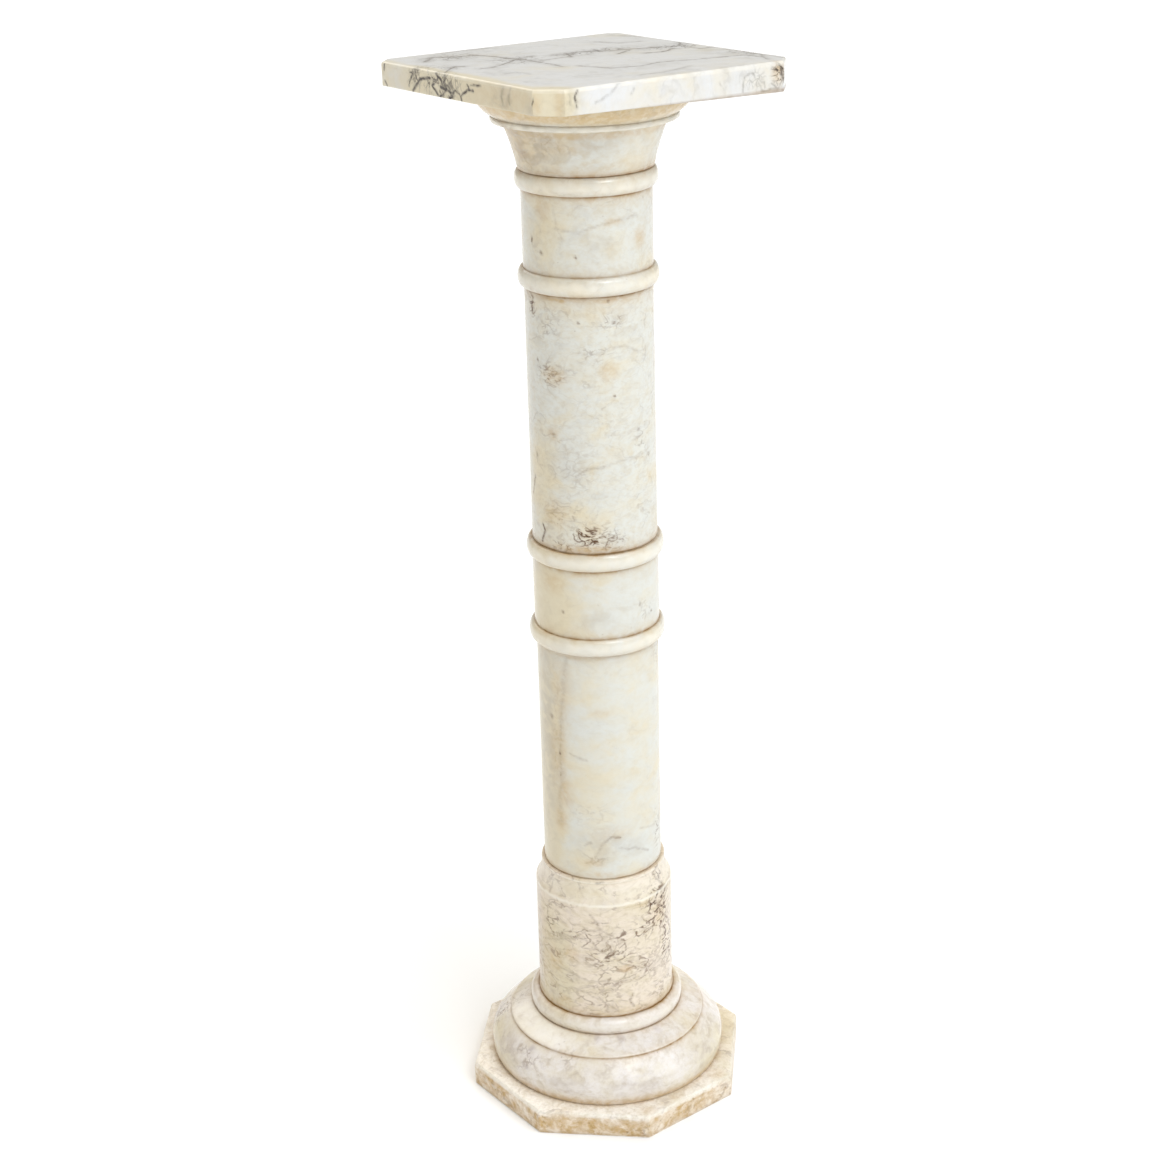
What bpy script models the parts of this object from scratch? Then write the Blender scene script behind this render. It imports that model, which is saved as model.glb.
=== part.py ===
"""A marble pedestal column: octagonal plinth, turned base, two shafts with ringed collars, bell capital, square slab.

Metres, +Z up, origin at the centre of the plinth's underside. The slab's sides run along X and Y.
The pieces are stacked from the floor up, each on the one below it, with a hairline joint between them.
"""

import math

import bmesh
import bpy

# Fineness of the turned pieces
SEGMENTS = 48

# Joints between stacked pieces
JOINT_GAP = 0.0003

# Plinth
PLINTH_HEIGHT = 0.0255
PLINTH_MARGIN = 0.0133
PLINTH_ARRIS = 0.0015
PLINTH_TURN = math.radians(2.6)

# Base torus: a round nose under a slope, then a fillet, a gentle shoulder and a bead
TORUS_NOSE = 0.0180
TORUS_NOSE_RISE = 0.0147
TORUS_SLOPE = 0.0154
TORUS_SLOPE_FALL = math.radians(45)
FILLET_HEIGHT = 0.0020
SHOULDER_HEIGHT = 0.0114
SHOULDER_WIDTH = 0.0219
BEAD_HEIGHT = 0.0160
BEAD_PROUD = 0.0085
BEAD_ROOT = 0.0013

# Base drum, with its hollowed neck and lip under the shaft
DRUM_HEIGHT = 0.1275
DRUM_STEP = 0.0065
DRUM_FOOT_FLARE = 0.0010
DRUM_FOOT_HEIGHT = 0.0040
DRUM_ROUNDING_HEIGHT = 0.0042
DRUM_ROUNDING_WIDTH = 0.0010
NECK_HEIGHT = 0.0190
NECK_HOLLOW = 0.6
LIP_HEIGHT = 0.0042
LIP_PROUD = 0.0034
LIP_ROUNDING = 0.0010

# Shafts
SHAFT_RADIUS = 0.0597
LOWER_SHAFT_HEIGHT = 0.2445
UPPER_SHAFT_HEIGHT = 0.2460
UPPER_SHAFT_SPREAD = 0.0007

# Collars, each a drum between two rings
MIDDLE_COLLAR_STEP = 0.0015
MIDDLE_COLLAR_HEIGHT = 0.0701
UPPER_COLLAR_STEP = 0.0005
UPPER_COLLAR_HEIGHT = 0.0728
RING_HEIGHT = 0.0172
RING_PROUD = 0.0052
RING_ROOT = 0.0006

# Capital: bell, small bead, groove and ovolo under the slab
BELL_HEIGHT = 0.0425
BELL_STEP = 0.0020
BELL_FLARE = 0.0133
BELL_HOLLOW = 0.4
CAPITAL_BEAD_HEIGHT = 0.0053
CAPITAL_BEAD_REACH = 0.0068
CAPITAL_BEAD_PROUD = 0.0030
GROOVE_DEPTH = 0.0010
OVOLO_HEIGHT = 0.0160
OVOLO_PROUD = 0.0140
OVOLO_BULGE = 0.8
BAND_HEIGHT = 0.0055

# Top slab
SLAB_HEIGHT = 0.0235
SLAB_OVERHANG = 0.0370
SLAB_CORNER_CUT = 0.0190
SLAB_ARRIS = 0.0035

# Points along each curved stretch of a profile
RING_STEPS = 6
BEAD_STEPS = 6
NOSE_STEPS = 5
BELL_STEPS = 6
OVOLO_STEPS = 4
NECK_STEPS = 4
ROUNDING_STEPS = 3
ARRIS_STEPS = 3

SHARP_ANGLE = math.radians(35)
MERGE_DISTANCE = 0.00002


def clear_scene():
    for item in list(bpy.data.objects):
        bpy.data.objects.remove(item, do_unlink=True)


def marble(name, colour, roughness):
    material = bpy.data.materials.new(name)
    material.use_nodes = True
    shader = material.node_tree.nodes["Principled BSDF"]
    shader.inputs["Base Color"].default_value = (*colour, 1.0)
    shader.inputs["Roughness"].default_value = roughness
    shader.inputs["Metallic"].default_value = 0.0
    material.diffuse_color = (*colour, 1.0)
    return material


def arc(centre, reach, start, end, steps):
    """Points on an ellipse arc about centre (radius, height); reach is its half width and half height."""
    points = []
    for step in range(steps + 1):
        angle = math.radians(start + (end - start) * step / steps)
        points.append((centre[0] + reach[0] * math.cos(angle), centre[1] + reach[1] * math.sin(angle)))
    return points


def roll(root, proud, top, height, steps):
    """A half-round moulding from its top edge down to its lower edge."""
    return arc((root, top - height / 2), (proud, height / 2), 90, -90, steps)


def flare(narrow, wide, narrow_height, wide_height, bend, steps):
    """A flaring stretch from its narrow end to its wide end: hollow where bend is over zero, else bulging."""
    points = []
    for step in range(steps + 1):
        share = step / steps
        spread = (1 - bend) * share + bend * share * share
        points.append((narrow + (wide - narrow) * spread, narrow_height + (wide_height - narrow_height) * share))
    return points


def finish_object(name, mesh_data, material):
    mesh = bpy.data.meshes.new(name)
    bmesh.ops.remove_doubles(mesh_data, verts=mesh_data.verts, dist=MERGE_DISTANCE)
    bmesh.ops.recalc_face_normals(mesh_data, faces=mesh_data.faces)
    mesh_data.to_mesh(mesh)
    mesh_data.free()
    mesh.materials.append(material)
    mesh.shade_smooth()
    mesh.set_sharp_from_angle(angle=SHARP_ANGLE)
    piece = bpy.data.objects.new(name, mesh)
    bpy.context.collection.objects.link(piece)
    return piece


def turned(name, profile, material):
    """A solid turned about the Z axis from a profile of (radius, height) points, top to bottom."""
    outline = [(0.0, profile[0][1])] + profile + [(0.0, profile[-1][1])]
    data = bmesh.new()
    corners = [data.verts.new((radius, 0.0, height)) for radius, height in outline]
    edges = [data.edges.new(pair) for pair in zip(corners, corners[1:])]
    bmesh.ops.spin(
        data,
        geom=corners + edges,
        cent=(0, 0, 0),
        axis=(0, 0, 1),
        angle=math.tau,
        steps=SEGMENTS,
    )
    return finish_object(name, data, material)


def polygon_block(name, corners, bottom, height, arris, material):
    """An upright block on a polygon, with its top edges rounded by arris."""
    data = bmesh.new()
    floor = data.faces.new([data.verts.new((x, y, bottom)) for x, y in corners])
    raised = bmesh.ops.extrude_face_region(data, geom=[floor])["geom"]
    lifted = [item for item in raised if isinstance(item, bmesh.types.BMVert)]
    bmesh.ops.translate(data, verts=lifted, vec=(0, 0, height))
    top_edges = [edge for edge in data.edges if all(vert in lifted for vert in edge.verts)]
    bmesh.ops.bevel(data, geom=top_edges, offset=arris, segments=ARRIS_STEPS, profile=0.5, affect="EDGES")
    return finish_object(name, data, material)


def octagon_corners(across, turn):
    radius = across / 2 / math.cos(math.pi / 8)
    angles = [turn + math.pi / 8 + math.pi / 4 * side for side in range(8)]
    return [(radius * math.cos(angle), radius * math.sin(angle)) for angle in angles]


def cut_square_corners(side, cut):
    half = side / 2
    near = half - cut
    return [(half, -near), (half, near), (near, half), (-near, half),
            (-half, near), (-half, -near), (-near, -half), (near, -half)]


def make_plinth(torus_radius):
    across = 2 * (torus_radius + PLINTH_MARGIN)
    corners = octagon_corners(across, PLINTH_TURN)
    finish = marble("worn_marble", (0.78, 0.66, 0.48), 0.55)
    polygon_block("plinth", corners, 0.0, PLINTH_HEIGHT, PLINTH_ARRIS, finish)


def make_base_torus(bottom, drum_radius):
    """The torus with its fillet, shoulder and bead, from one block; returns its top and its widest radius."""
    nose_height = bottom + TORUS_NOSE_RISE
    slope_foot = nose_height + TORUS_NOSE * math.cos(TORUS_SLOPE_FALL)
    torus_top = slope_foot + TORUS_SLOPE * math.tan(TORUS_SLOPE_FALL)
    fillet_top = torus_top + FILLET_HEIGHT
    shoulder_top = fillet_top + SHOULDER_HEIGHT
    top = shoulder_top + BEAD_HEIGHT
    bead_root = drum_radius + BEAD_ROOT
    fillet_radius = bead_root + BEAD_PROUD + SHOULDER_WIDTH
    nose = (fillet_radius + TORUS_SLOPE - TORUS_NOSE * math.sin(TORUS_SLOPE_FALL), nose_height)
    profile = roll(bead_root, BEAD_PROUD, top, BEAD_HEIGHT, BEAD_STEPS)[:-1]
    profile.append((bead_root + BEAD_PROUD, shoulder_top))
    profile.append((fillet_radius, fillet_top))
    profile.append((fillet_radius, torus_top))
    slope_end = 90 - math.degrees(TORUS_SLOPE_FALL)
    profile += arc(nose, (TORUS_NOSE, TORUS_NOSE), slope_end, 0, NOSE_STEPS)[:-1]
    profile += arc(nose, (TORUS_NOSE, TORUS_NOSE_RISE), 0, -90, NOSE_STEPS)
    turned("base_torus", profile, marble("polished_marble_torus", (0.80, 0.74, 0.66), 0.25))
    return top, nose[0] + TORUS_NOSE


def make_base_drum(bottom, drum_radius):
    """The drum with its flared foot, rounded shoulder, hollowed neck and lip; returns its top."""
    drum_top = bottom + DRUM_HEIGHT
    neck_foot = drum_top + DRUM_ROUNDING_HEIGHT
    neck_top = neck_foot + NECK_HEIGHT
    top = neck_top + LIP_HEIGHT
    neck_radius = SHAFT_RADIUS + LIP_PROUD - LIP_ROUNDING
    rounding_radius = drum_radius - DRUM_ROUNDING_WIDTH
    profile = roll(neck_radius, LIP_ROUNDING, top, LIP_HEIGHT, ROUNDING_STEPS)[:-1]
    profile += flare(neck_radius, rounding_radius, neck_top, neck_foot, NECK_HOLLOW, NECK_STEPS)[:-1]
    profile += arc((rounding_radius, drum_top), (DRUM_ROUNDING_WIDTH, DRUM_ROUNDING_HEIGHT), 90, 0, ROUNDING_STEPS)
    profile.append((drum_radius, bottom + DRUM_FOOT_HEIGHT))
    profile.append((drum_radius + DRUM_FOOT_FLARE, bottom))
    turned("base_drum", profile, marble("veined_marble_drum", (0.76, 0.68, 0.56), 0.3))
    return top


def make_shaft(name, bottom, height, head_radius, foot_radius, material):
    top = bottom + height
    turned(name, [(head_radius, top), (foot_radius, bottom)], material)
    return top


def make_collar(name, bottom, drum_height, radius, material):
    """A drum between two rings, turned from one block; returns its top."""
    drum_bottom = bottom + RING_HEIGHT
    drum_top = drum_bottom + drum_height
    top = drum_top + RING_HEIGHT
    root = radius + RING_ROOT
    proud = RING_PROUD - RING_ROOT
    profile = roll(root, proud, top, RING_HEIGHT, RING_STEPS)
    profile.append((radius, drum_top))
    profile.append((radius, drum_bottom))
    profile += roll(root, proud, drum_bottom, RING_HEIGHT, RING_STEPS)
    turned(name, profile, material)
    return top


def make_capital(bottom, collar_radius):
    """The bell, small bead, groove and ovolo; returns its top and its widest radius."""
    bell_top = bottom + BELL_HEIGHT
    bead_top = bell_top + CAPITAL_BEAD_HEIGHT
    ovolo_top = bead_top + OVOLO_HEIGHT
    top = ovolo_top + BAND_HEIGHT
    foot_radius = collar_radius + BELL_STEP
    bell_radius = foot_radius + BELL_FLARE
    bead_root = bell_radius + CAPITAL_BEAD_REACH
    ovolo_root = bead_root + CAPITAL_BEAD_PROUD - GROOVE_DEPTH
    widest = ovolo_root + OVOLO_PROUD
    profile = [(widest, top)]
    profile += reversed(flare(ovolo_root, widest, bead_top, ovolo_top, -OVOLO_BULGE, OVOLO_STEPS))
    profile += roll(bead_root, CAPITAL_BEAD_PROUD, bead_top, CAPITAL_BEAD_HEIGHT, BEAD_STEPS)
    profile += reversed(flare(foot_radius, bell_radius, bottom, bell_top, BELL_HOLLOW, BELL_STEPS))
    turned("capital", profile, marble("polished_marble_capital", (0.78, 0.70, 0.60), 0.3))
    return top, widest


def make_top_slab(bottom, capital_radius):
    side = 2 * (capital_radius + SLAB_OVERHANG)
    corners = cut_square_corners(side, SLAB_CORNER_CUT)
    finish = marble("veined_marble_slab", (0.80, 0.79, 0.76), 0.25)
    polygon_block("top_slab", corners, bottom, SLAB_HEIGHT, SLAB_ARRIS, finish)


def main():
    clear_scene()
    middle_radius = SHAFT_RADIUS + MIDDLE_COLLAR_STEP
    upper_radius = SHAFT_RADIUS + UPPER_COLLAR_STEP
    drum_radius = SHAFT_RADIUS + LIP_PROUD + DRUM_STEP
    upper_foot_radius = SHAFT_RADIUS + UPPER_SHAFT_SPREAD

    level, torus_radius = make_base_torus(PLINTH_HEIGHT + JOINT_GAP, drum_radius)
    make_plinth(torus_radius)
    level = make_base_drum(level + JOINT_GAP, drum_radius)
    level = make_shaft("lower_shaft", level + JOINT_GAP, LOWER_SHAFT_HEIGHT, SHAFT_RADIUS, SHAFT_RADIUS,
                       marble("cream_marble_shaft", (0.80, 0.75, 0.65), 0.25))
    level = make_collar("middle_collar", level + JOINT_GAP, MIDDLE_COLLAR_HEIGHT, middle_radius,
                        marble("cream_marble_collar", (0.82, 0.74, 0.61), 0.25))
    level = make_shaft("upper_shaft", level + JOINT_GAP, UPPER_SHAFT_HEIGHT, SHAFT_RADIUS, upper_foot_radius,
                       marble("white_marble_shaft", (0.83, 0.79, 0.72), 0.25))
    level = make_collar("upper_collar", level + JOINT_GAP, UPPER_COLLAR_HEIGHT, upper_radius,
                        marble("white_marble_collar", (0.82, 0.78, 0.71), 0.25))
    level, capital_radius = make_capital(level + JOINT_GAP, upper_radius)
    make_top_slab(level + JOINT_GAP, capital_radius)


main()
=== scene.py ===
import math
import random

import bpy
import numpy as np
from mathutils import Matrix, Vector, noise


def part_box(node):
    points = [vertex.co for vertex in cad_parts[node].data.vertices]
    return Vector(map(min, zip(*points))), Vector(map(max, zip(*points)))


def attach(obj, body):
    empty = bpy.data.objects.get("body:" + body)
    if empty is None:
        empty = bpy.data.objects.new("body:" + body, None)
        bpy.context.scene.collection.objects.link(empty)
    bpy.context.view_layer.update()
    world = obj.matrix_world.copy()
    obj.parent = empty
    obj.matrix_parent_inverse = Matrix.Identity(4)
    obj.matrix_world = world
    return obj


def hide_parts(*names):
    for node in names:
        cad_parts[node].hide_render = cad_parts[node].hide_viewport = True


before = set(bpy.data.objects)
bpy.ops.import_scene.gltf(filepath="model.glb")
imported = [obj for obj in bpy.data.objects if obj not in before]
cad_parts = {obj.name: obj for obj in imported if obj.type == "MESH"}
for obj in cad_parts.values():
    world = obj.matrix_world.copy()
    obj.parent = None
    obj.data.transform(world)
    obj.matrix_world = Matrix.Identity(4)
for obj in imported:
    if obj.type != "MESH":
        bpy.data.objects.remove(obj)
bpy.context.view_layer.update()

# A marble pedestal column, dressed. Each stone is a fine mesh with its own marble, its wear with painted
# highlights, and the dirt and painted shade in its creases. Lengths are in metres unless a name says mm. Marks are
# laid on a stone's chart in millimetres.

bl_info = {
    "name": "Marble pedestal column",
    "version": (1, 0, 0),
    "blender": (4, 5, 0),
    "location": "3D View > Sidebar > Pedestal",
    # The wear carries painted highlights, and the dirt carries painted shade
    "description": "Builds the nine stones of a turned marble pedestal column with their veins, wear and dirt",
    "category": "Add Mesh",
}

MM = 0.001

# The side of the column that faces the camera, as an angle about its axis; a mark's turn is counted from here
FRONT = math.radians(-125.65)


def linear(code):
    """An sRGB hex colour as linear red, green and blue."""
    shares = [int(code[place:place + 2], 16) / 255 for place in (1, 3, 5)]
    return tuple(share / 12.92 if share <= 0.04045 else ((share + 0.055) / 1.055) ** 2.4 for share in shares)


def length(name, description, default_mm):
    return bpy.props.FloatProperty(name=name, description=description, default=default_mm * MM, min=0.0,
                                   unit="LENGTH")


def colour(name, description, code):
    return bpy.props.FloatVectorProperty(name=name, description=description, default=linear(code), size=3,
                                         min=0.0, max=1.0, subtype="COLOR")


class TurnedSizes(bpy.types.PropertyGroup):
    """Radii and mouldings of the turned stones"""

    shaft_radius: length("Shaft radius", "Radius of both shafts", 59.7)
    upper_shaft_foot: length("Upper shaft foot", "Radius of the upper shaft at its foot", 60.4)
    middle_collar_radius: length("Middle collar", "Radius of the middle collar's drum", 61.2)
    upper_collar_radius: length("Upper collar", "Radius of the upper collar's drum", 60.2)
    ring_height: length("Ring height", "Height of a collar's half-round ring", 17.2)
    ring_proud: length("Ring proud", "How far a ring stands out of its drum", 5.2)
    ring_root: length("Ring root", "How far a ring's edges stand out of its drum", 0.6)
    bell_foot: length("Bell foot", "Radius of the capital's bell at its foot", 62.2)
    bell_head: length("Bell head", "Radius of the capital's bell at its head", 75.5)
    bell_height: length("Bell height", "Height of the capital's bell", 42.5)
    capital_bead_root: length("Capital bead root", "Radius at the edges of the capital's bead", 84.1)
    capital_bead_proud: length("Capital bead proud", "How far the capital's bead stands out", 1.2)
    capital_bead_height: length("Capital bead height", "Height of the capital's bead", 5.3)
    ovolo_root: length("Ovolo root", "Radius at the foot of the moulding under the slab", 84.3)
    ovolo_head: length("Ovolo head", "Radius at the head of the moulding under the slab", 98.3)
    ovolo_height: length("Ovolo height", "Height of the moulding under the slab", 16.0)
    drum_radius: length("Drum radius", "Radius of the base drum", 69.6)
    drum_foot_radius: length("Drum foot", "Radius of the base drum's flared foot", 70.6)
    drum_height: length("Drum height", "Height of the base drum under its rounded shoulder", 127.5)
    drum_rounding: length("Drum rounding", "Height of the base drum's rounded shoulder", 4.2)
    lip_radius: length("Lip radius", "Radius of the lip under the lower shaft", 63.1)
    lip_height: length("Lip height", "Height of the lip under the lower shaft", 4.2)
    bead_root: length("Bead root", "Radius at the edges of the base's bead", 70.9)
    bead_proud: length("Bead proud", "How far the base's bead stands out", 8.5)
    bead_height: length("Bead height", "Height of the base's bead", 16.0)
    fillet_radius: length("Fillet radius", "Radius of the thin edge above the torus", 101.3)
    fillet_height: length("Fillet height", "Height of the thin edge above the torus", 2.0)
    shoulder_height: length("Shoulder height", "Fall of the slope from the bead to the thin edge", 11.4)
    torus_nose: length("Torus nose", "Radius of the torus's round nose", 18.0)
    torus_nose_rise: length("Torus nose rise", "Height of the torus's widest point above its bed", 14.7)
    torus_slope: length("Torus slope", "Run of the slope above the torus's nose", 15.4)
    torus_undercut: length("Torus undercut", "How far the torus draws in below its nose", 2.4)
    bead_undercut: length("Bead undercut", "How far the base's bead draws in below its middle", 2.4)


class BlockSizes(bpy.types.PropertyGroup):
    """Sizes of the slab and the plinth"""

    slab_side: length("Slab side", "Side of the square slab", 270.6)
    slab_arris: length("Slab arris", "Rounding of the slab's top edge", 2.7)
    slab_lower_arris: length("Slab lower arris", "Rounding of the slab's lower edge", 1.0)
    slab_front_cut: length("Front cut", "Leg of the cut at the slab's front corner", 19.1)
    slab_left_cut: length("Left cut", "Leg of the cut at the slab's left corner", 13.2)
    slab_back_cut: length("Back cut", "Leg of the cut at the slab's back corner", 10.0)
    slab_right_cut: length("Right cut", "Leg of the cut at the slab's right corner", 18.0)
    plinth_across: length("Plinth across", "Width of the octagonal plinth across its flats", 270.5)
    plinth_arris: length("Plinth arris", "Rounding of the plinth's top edge", 2.0)
    plinth_turn: bpy.props.FloatProperty(name="Plinth turn", description="Turn of the plinth under the slab",
                                         default=math.radians(2.6), subtype="ANGLE")


class MarbleColours(bpy.types.PropertyGroup):
    """Colours of the marble, its veins, its dirt, and its painted shade and highlights"""

    white: colour("White ground", "The clean white of the marble", "#D7D8D2")
    cool: colour("Cool ground", "The cool white of the slab", "#D8D9DA")
    bone: colour("Bone ground", "The pinkish white of the plinth", "#FAF3E9")
    pale: colour("Pale ground", "The bright white of the torus", "#E5DFDA")
    rose: colour("Rose ground", "The faintly rosy white of the drum", "#E6DACA")
    # The cream also paints the warmer shade on the stones' left sides
    cream: colour("Cream ground", "The warm cream of the marble", "#DCD2B8")
    beige: colour("Beige cloud", "Cloudy patches in the marble", "#CABB9A")
    # The grey smoke also paints shade on the bell's left side
    smoke: colour("Grey smoke", "Soft warm grey veining", "#A9A29A")
    lilac: colour("Lilac smoke", "Soft lilac-grey clouds of the torus", "#B0A4A5")
    slate: colour("Slate vein", "The slab's long grey veins", "#5F574D")
    brown: colour("Brown web", "The web of fine brown veins", "#6C4420")
    dark: colour("Dark vein", "The darkest veins and flecks", "#2E2015")
    # The ochre also paints shade under the slab, on the bell's left side and under the capital's bead
    ochre: colour("Ochre stain", "Iron stain near joints and edges", "#C29C57")
    # Grime: the dark colour in creases and joints, partly old dirt and partly painted crease shade
    grime: colour("Grime", "Old dirt in creases and joints", "#80591C")
    # Worn edge: the pale colour of rubbed arrises, and of painted highlights on rings, ridges, beads and lit sides
    worn: colour("Worn edge", "Pale rubbed edges", "#F2EDE0")


class StageSizes(bpy.types.PropertyGroup):
    """Floor, lights and camera"""

    floor_side: bpy.props.FloatProperty(name="Floor side", description="Side of the square floor", default=40.0,
                                        unit="LENGTH")
    floor_colour: colour("Floor", "The pale floor", "#FDFDFD")
    sky_colour: colour("Sky", "The even, slightly warm light from all round", "#FFFAF0")
    sky_strength: bpy.props.FloatProperty(name="Sky strength", description="Strength of the even light",
                                          default=0.54)
    back_colour: colour("Back light", "The light that comes from behind on the left", "#FFFBF4")
    back_strength: bpy.props.FloatProperty(name="Back strength", description="Strength of the back light",
                                           default=0.95)
    back_turn: bpy.props.FloatProperty(name="Back turn", description="Turn of the back light from the camera",
                                       default=math.radians(-158), subtype="ANGLE")
    back_height: bpy.props.FloatProperty(name="Back height", description="Angle of the back light above the floor",
                                         default=math.radians(48), subtype="ANGLE")
    key_colour: colour("Key", "The slightly cool light of the broad key light", "#EDF5FF")
    key_strength: bpy.props.FloatProperty(name="Key strength", description="Strength of the broad key light",
                                          default=1.92)
    key_softness: bpy.props.FloatProperty(name="Key softness", description="Angle that the key light fills",
                                          default=math.radians(60), subtype="ANGLE")
    key_turn: bpy.props.FloatProperty(name="Key turn", description="Turn of the key light from the camera",
                                      default=math.radians(48), subtype="ANGLE")
    key_height: bpy.props.FloatProperty(name="Key height", description="Angle of the key light above the floor",
                                        default=math.radians(52), subtype="ANGLE")
    panel_side: bpy.props.FloatProperty(name="Panel side", description="Side of the small light panel",
                                        default=0.30, unit="LENGTH")
    panel_power: bpy.props.FloatProperty(name="Panel power", description="Power of the small light panel",
                                         default=2.2, unit="POWER")
    lens: bpy.props.FloatProperty(name="Lens", description="Focal length on a 36 mm sensor", default=63.513,
                                  unit="CAMERA")


# Outlines of the turned stones: lists of (radius, height) in metres, from the top down

# Spacing of points at a rim and along an outline, and how much of an arris is eased, in metres
FINE = 0.0007
PLAIN = 0.0017
EASING = 0.0009

# Corners that turn less than this are part of a curve
SOFT_TURN = math.radians(12)

# How far a turned face waves, how deep its arrises are nicked, and how far drawn marks wander
WAVE_MM = 0.10
NICK_MM = 1.1
WANDER_MM = 1.2

# Dirt and painted shade in a crease: (reach, strength) of the dark line in it and of the stain round it, and the
# wear of an arris, with painted highlights
CREASE_DIRT_AND_SHADE = (0.65, 1.15)
DIRT_HALO = (2.4, 0.75)
EDGE_WEAR_AND_HIGHLIGHT = 0.5


def arc(centre, reach, start, end, steps):
    """Points on an ellipse arc about centre, from one angle in degrees to another."""
    angles = np.radians(np.linspace(start, end, steps + 1))
    return [(centre[0] + reach[0] * math.cos(angle), centre[1] + reach[1] * math.sin(angle)) for angle in angles]


def roll(root, proud, top, height, steps=22):
    """A half-round moulding from its top edge down to its lower edge."""
    return arc((root, top - height / 2), (proud, height / 2), 90, -90, steps)


def flare(narrow, wide, narrow_height, wide_height, bend, steps=24):
    """A flaring stretch from its narrow end to its wide end: hollow where bend is over zero, else bulging."""
    shares = np.linspace(0, 1, steps + 1)
    return [(narrow + (wide - narrow) * ((1 - bend) * share + bend * share * share),
             narrow_height + (wide_height - narrow_height) * share) for share in shares]


def soften(outline, reach, steps=3):
    """Eases each corner of an outline, as a mason rubs an arris down and a chisel leaves a crease round."""
    eased = [outline[0]]
    for before, corner, after in zip(outline, outline[1:], outline[2:]):
        before, corner, after = Vector(before), Vector(corner), Vector(after)
        arrive = corner - before
        leave = after - corner
        if arrive.angle(leave) < SOFT_TURN:
            eased.append(tuple(corner))
            continue
        cut = min(reach, 0.45 * arrive.length, 0.45 * leave.length)
        start = corner - arrive.normalized() * cut
        end = corner + leave.normalized() * cut
        for step in range(steps + 1):
            share = step / steps
            eased.append(tuple(start.lerp(corner, share).lerp(corner.lerp(end, share), share)))
    eased.append(outline[-1])
    return eased


def divide(outline, spacing):
    """Adds points along the long stretches of an outline."""
    divided = [outline[0]]
    for here, there in zip(outline, outline[1:]):
        parts = max(1, math.ceil((Vector(there) - Vector(here)).length / spacing))
        for part in range(1, parts + 1):
            divided.append(tuple(Vector(here).lerp(Vector(there), part / parts)))
    return divided


# Fields: one number for each point of a mesh, as a numpy array

def rough_field(points, size_mm, seed):
    """Smooth noise over points in metres, from -1 to 1, with lumps of about size_mm."""
    shift = Vector((seed * 7.31, seed * 3.17, seed * 5.83))
    scale = 1 / (size_mm * MM)
    return np.array([noise.noise(Vector(point) * scale + shift) for point in points])


def smooth_step(values, low, high):
    share = np.clip((values - low) / (high - low), 0, 1)
    return share * share * (3 - 2 * share)


def spot_field(chart, spots, wrap=None):
    """How strongly a list of spots covers each chart point: (strength, (half sizes), (centre)) each."""
    cover = np.zeros(len(chart))
    for strength, reach, centre in spots:
        away = chart - np.array(centre)
        if wrap:
            away[:, 0] = (away[:, 0] + wrap / 2) % wrap - wrap / 2
        distance = np.sqrt(((away / np.array(reach)) ** 2).sum(axis=1))
        cover = np.maximum(cover, strength * (1 - smooth_step(distance, 0.25, 1.6)))
    return cover


def stroke_field(chart, strokes):
    """How strongly drawn veins cover each chart point: (half width, strength, path) each."""
    cover = np.zeros(len(chart))
    for width, strength, path in strokes:
        nearest = np.full(len(chart), 1e6)
        for here, there in zip(path, path[1:]):
            here = np.array(here, float)
            run = np.array(there, float) - here
            share = np.clip((chart - here) @ run / max(run @ run, 1e-9), 0, 1)
            away = chart - here - share[:, None] * run
            nearest = np.minimum(nearest, np.sqrt((away ** 2).sum(axis=1)))
        cover = np.maximum(cover, strength * np.exp(-(nearest / width) ** 2))
    return cover


def crease_field(points, creases):
    """Dirt near crease circles: (radius, height, reach, strength) each, the first three in mm."""
    radius = np.hypot(points[:, 0], points[:, 1]) / MM
    height = points[:, 2] / MM
    cover = np.zeros(len(points))
    for crease_radius, crease_height, reach, strength in creases:
        distance = np.hypot(radius - crease_radius, height - crease_height)
        cover = np.maximum(cover, strength * np.exp(-distance / reach))
    return cover


# Meshes

def grid_mesh(name, rows, columns, points, fields):
    """A closed mesh of rows of points round the axis, from the top down, with a fan at either end."""
    top = len(points)
    crown = points[:columns].mean(axis=0)
    sole = points[-columns:].mean(axis=0)
    here = np.arange(columns)
    there = (here + 1) % columns
    quads = []
    for row in range(rows - 1):
        upper = row * columns
        lower = upper + columns
        quads.append(np.stack([upper + here, lower + here, lower + there, upper + there], axis=1))
    faces = np.concatenate(quads).tolist()
    last = (rows - 1) * columns
    faces += np.stack([np.full(columns, top), here, there], axis=1).tolist()
    faces += np.stack([np.full(columns, top + 1), last + there, last + here], axis=1).tolist()
    mesh = bpy.data.meshes.new(name)
    mesh.from_pydata(np.vstack([points, crown, sole]).tolist(), [], faces)
    for field, values in fields.items():
        layer = mesh.attributes.new(field, "FLOAT", "POINT")
        layer.data.foreach_set("value", np.append(np.clip(values, 0, 1), [0.0, 0.0]).astype(np.float32))
    mesh.shade_smooth()
    mesh.set_sharp_from_angle(angle=math.radians(50))
    return mesh


def row_normals(points, rows, columns):
    """Outward directions of a grid of points round the axis."""
    grid = points.reshape(rows, columns, 3)
    across = np.roll(grid, -1, axis=1) - np.roll(grid, 1, axis=1)
    down = np.gradient(grid, axis=0)
    normals = np.cross(down, across)
    size = np.linalg.norm(normals, axis=2, keepdims=True)
    return (normals / np.maximum(size, 1e-12)).reshape(-1, 3)


def place_stone(node, mesh, material):
    piece = bpy.data.objects.new(node + "_stone", mesh)
    bpy.context.scene.collection.objects.link(piece)
    mesh.materials.append(material)
    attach(piece, "root")
    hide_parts(node)


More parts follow.
